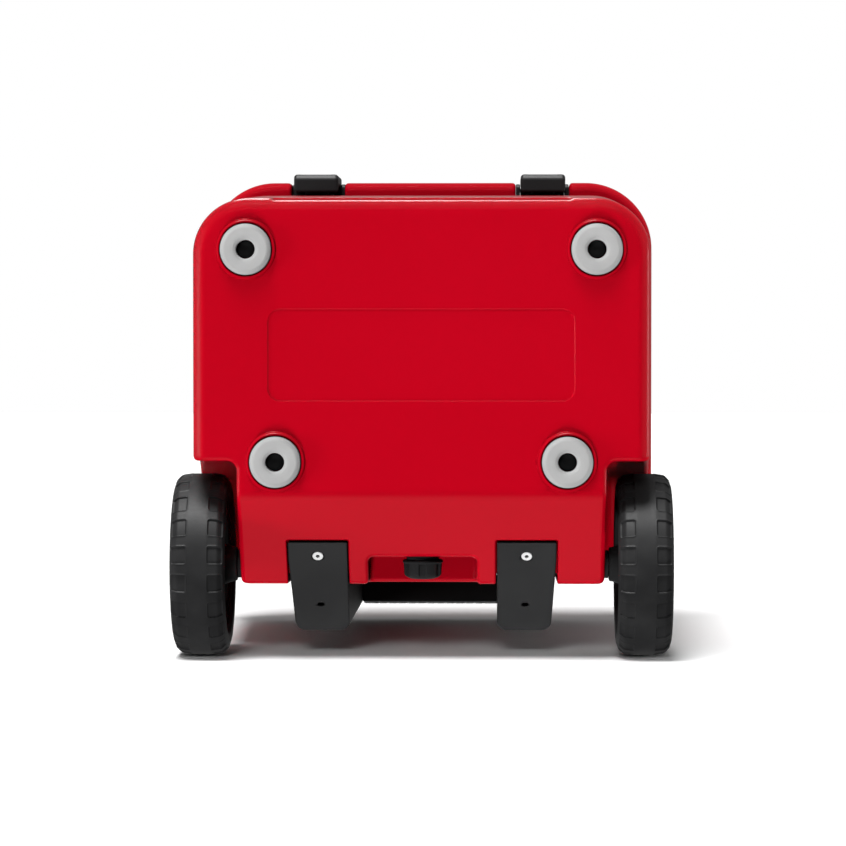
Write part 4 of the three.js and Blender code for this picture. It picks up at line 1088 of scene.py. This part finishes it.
def add_sun(name, towards, angle, share, look="both", only=(), skips=()):
    """A soft lamp far away, which lights what it reaches but adds no light from bounces.

    A white surface facing it squarely shows `share` of full white. `look` says whether it
    shades surfaces ("shade"), is mirrored in them ("sheen"), or both. `only` and `skips` hold
    the starts of the names of the pieces it is kept to, or leaves out.
    """
    light = bpy.data.lights.new(name, "SUN")
    light.angle = math.radians(angle)
    light.energy = share * math.pi
    light.cycles.max_bounces = 0
    lamp = add_object(name, light)
    lamp.rotation_mode = "QUATERNION"
    lamp.rotation_quaternion = Vector(towards).to_track_quat("Z", "Y")
    lamp.visible_glossy = look != "shade"
    lamp.visible_diffuse = look != "sheen"
    if only or skips:
        reached = bpy.data.collections.new(f"{name}_reach")
        for thing in bpy.data.objects:
            if thing.name.startswith(tuple(only or skips)):
                reached.objects.link(thing)
        for entry in reached.collection_objects:
            entry.light_linking.link_state = "INCLUDE" if only else "EXCLUDE"
        lamp.light_linking.receiver_collection = reached


def add_lights():
    shell = ["tub", "lid"]
    low = ["handle_column", "handle_bridge", "tyre_tread", "rim_", "cap_", "bearing_", "spacer_",
           "axle_pin", "drain_"]
    key = (-0.15, -0.95, -0.27)
    add_sun("key", key, 22, 1.10, look="shade")
    add_sun("key_sheen", key, 22, 1.10, look="sheen", skips=shell)
    add_sun("front_fill", (-0.10, 0.83, -0.55), 16, 1.02, look="shade", skips=["handle_bridge"])
    add_sun("face_fill", (-0.10, -0.48, -0.87), 16, 0.26, look="shade")
    add_sun("left_fill", (-0.94, 0.15, -0.30), 20, 0.58, look="shade")
    add_sun("right_fill", (0.95, 0.05, 0.30), 30, 0.80, look="shade", skips=low)
    add_sun("lid_fill", (-0.25, 0.65, 0.72), 30, 0.80, look="shade", skips=low)
    add_sun("lid_sheen", (-0.25, 0.65, 0.72), 30, 0.80, look="sheen",
            only=["grip_", "collar_", "lower_tube", "upper_tube", "hinge_", "thumb_"])
    add_sun("slope_sheen", (0.0, 0.92, -0.39), 60, 0.13, look="sheen",
            only=["tub", "handle_column", "column_bolt"])
    add_sun("left_sheen", (-0.94, 0.0, -0.34), 56, 0.11, look="sheen", only=["tub"])
    add_sun("right_sheen", (0.94, 0.0, -0.34), 56, 0.06, look="sheen", only=["tub"])
    add_sun("top_sheen", (0.0, -0.94, -0.34), 56, 0.09, look="sheen", only=["tub"])
    add_sun("right_glint", (0.94, 0.0, 0.34), 14, 0.05, look="sheen", only=["tub"])
    add_sun("edge_glint", (-0.10, -0.72, 0.68), 14, 0.30, look="sheen", only=["tub"])


def add_world():
    """White to look at. As a light it is weak, and dim where the cooler's base faces."""
    brightest_way = (0.0, -0.8, 0.6)
    limits = {"From Min": -0.6, "From Max": 0.6, "To Min": 0.03, "To Max": 0.25}
    world = bpy.data.worlds.new("studio")
    bpy.context.scene.world = world
    world.use_nodes = True
    world.cycles.max_bounces = 0
    tree, links = world.node_tree, world.node_tree.links
    coords = add_node(tree, "TexCoord")
    height = add_node(tree, "VectorMath")
    height.operation = "DOT_PRODUCT"
    height.inputs[1].default_value = brightest_way
    links.new(coords.outputs["Generated"], height.inputs[0])
    spread = add_node(tree, "MapRange", limits)
    spread.interpolation_type = "SMOOTHSTEP"
    links.new(height.outputs["Value"], spread.inputs["Value"])
    seen = add_node(tree, "LightPath")
    level = add_node(tree, "Mix", {"B": 1.0})
    links.new(seen.outputs["Is Camera Ray"], level.inputs["Factor"])
    links.new(spread.outputs["Result"], level.inputs["A"])
    background = tree.nodes["Background"]
    links.new(level.outputs["Result"], background.inputs["Strength"])
    background.inputs["Color"].default_value = (1, 1, 1, 1)


def add_camera():
    """Looks straight at the base from below, with the cooler's front uppermost."""
    yaw, pitch = math.radians(1.2), math.radians(1.6)
    distance = 3280.0
    target = Vector((1.816, 11.5, 0))
    ahead = Vector((-math.sin(yaw) * math.cos(pitch), math.sin(pitch),
                    math.cos(yaw) * math.cos(pitch)))
    right = ahead.cross(Vector((0, -1, 0))).normalized()
    up = -ahead.cross(right)
    turn = Matrix((right, up, -ahead)).transposed()
    camera = add_object("camera", bpy.data.cameras.new("camera"))
    camera.matrix_world = Matrix.Translation((target - distance * ahead) * MM) @ turn.to_4x4()
    camera.data.lens = 153.7
    camera.data.sensor_width = 36.0
    camera.data.clip_end = 60.0
    bpy.context.scene.camera = camera


add_tub()
add_feet()
add_wheels()
add_columns()
add_handle()
add_lid()
add_latches()
add_drain()
paint_carried_nodes()
add_stage()
add_world()
add_lights()
add_camera()
bpy.context.scene.view_settings.view_transform = "Standard"
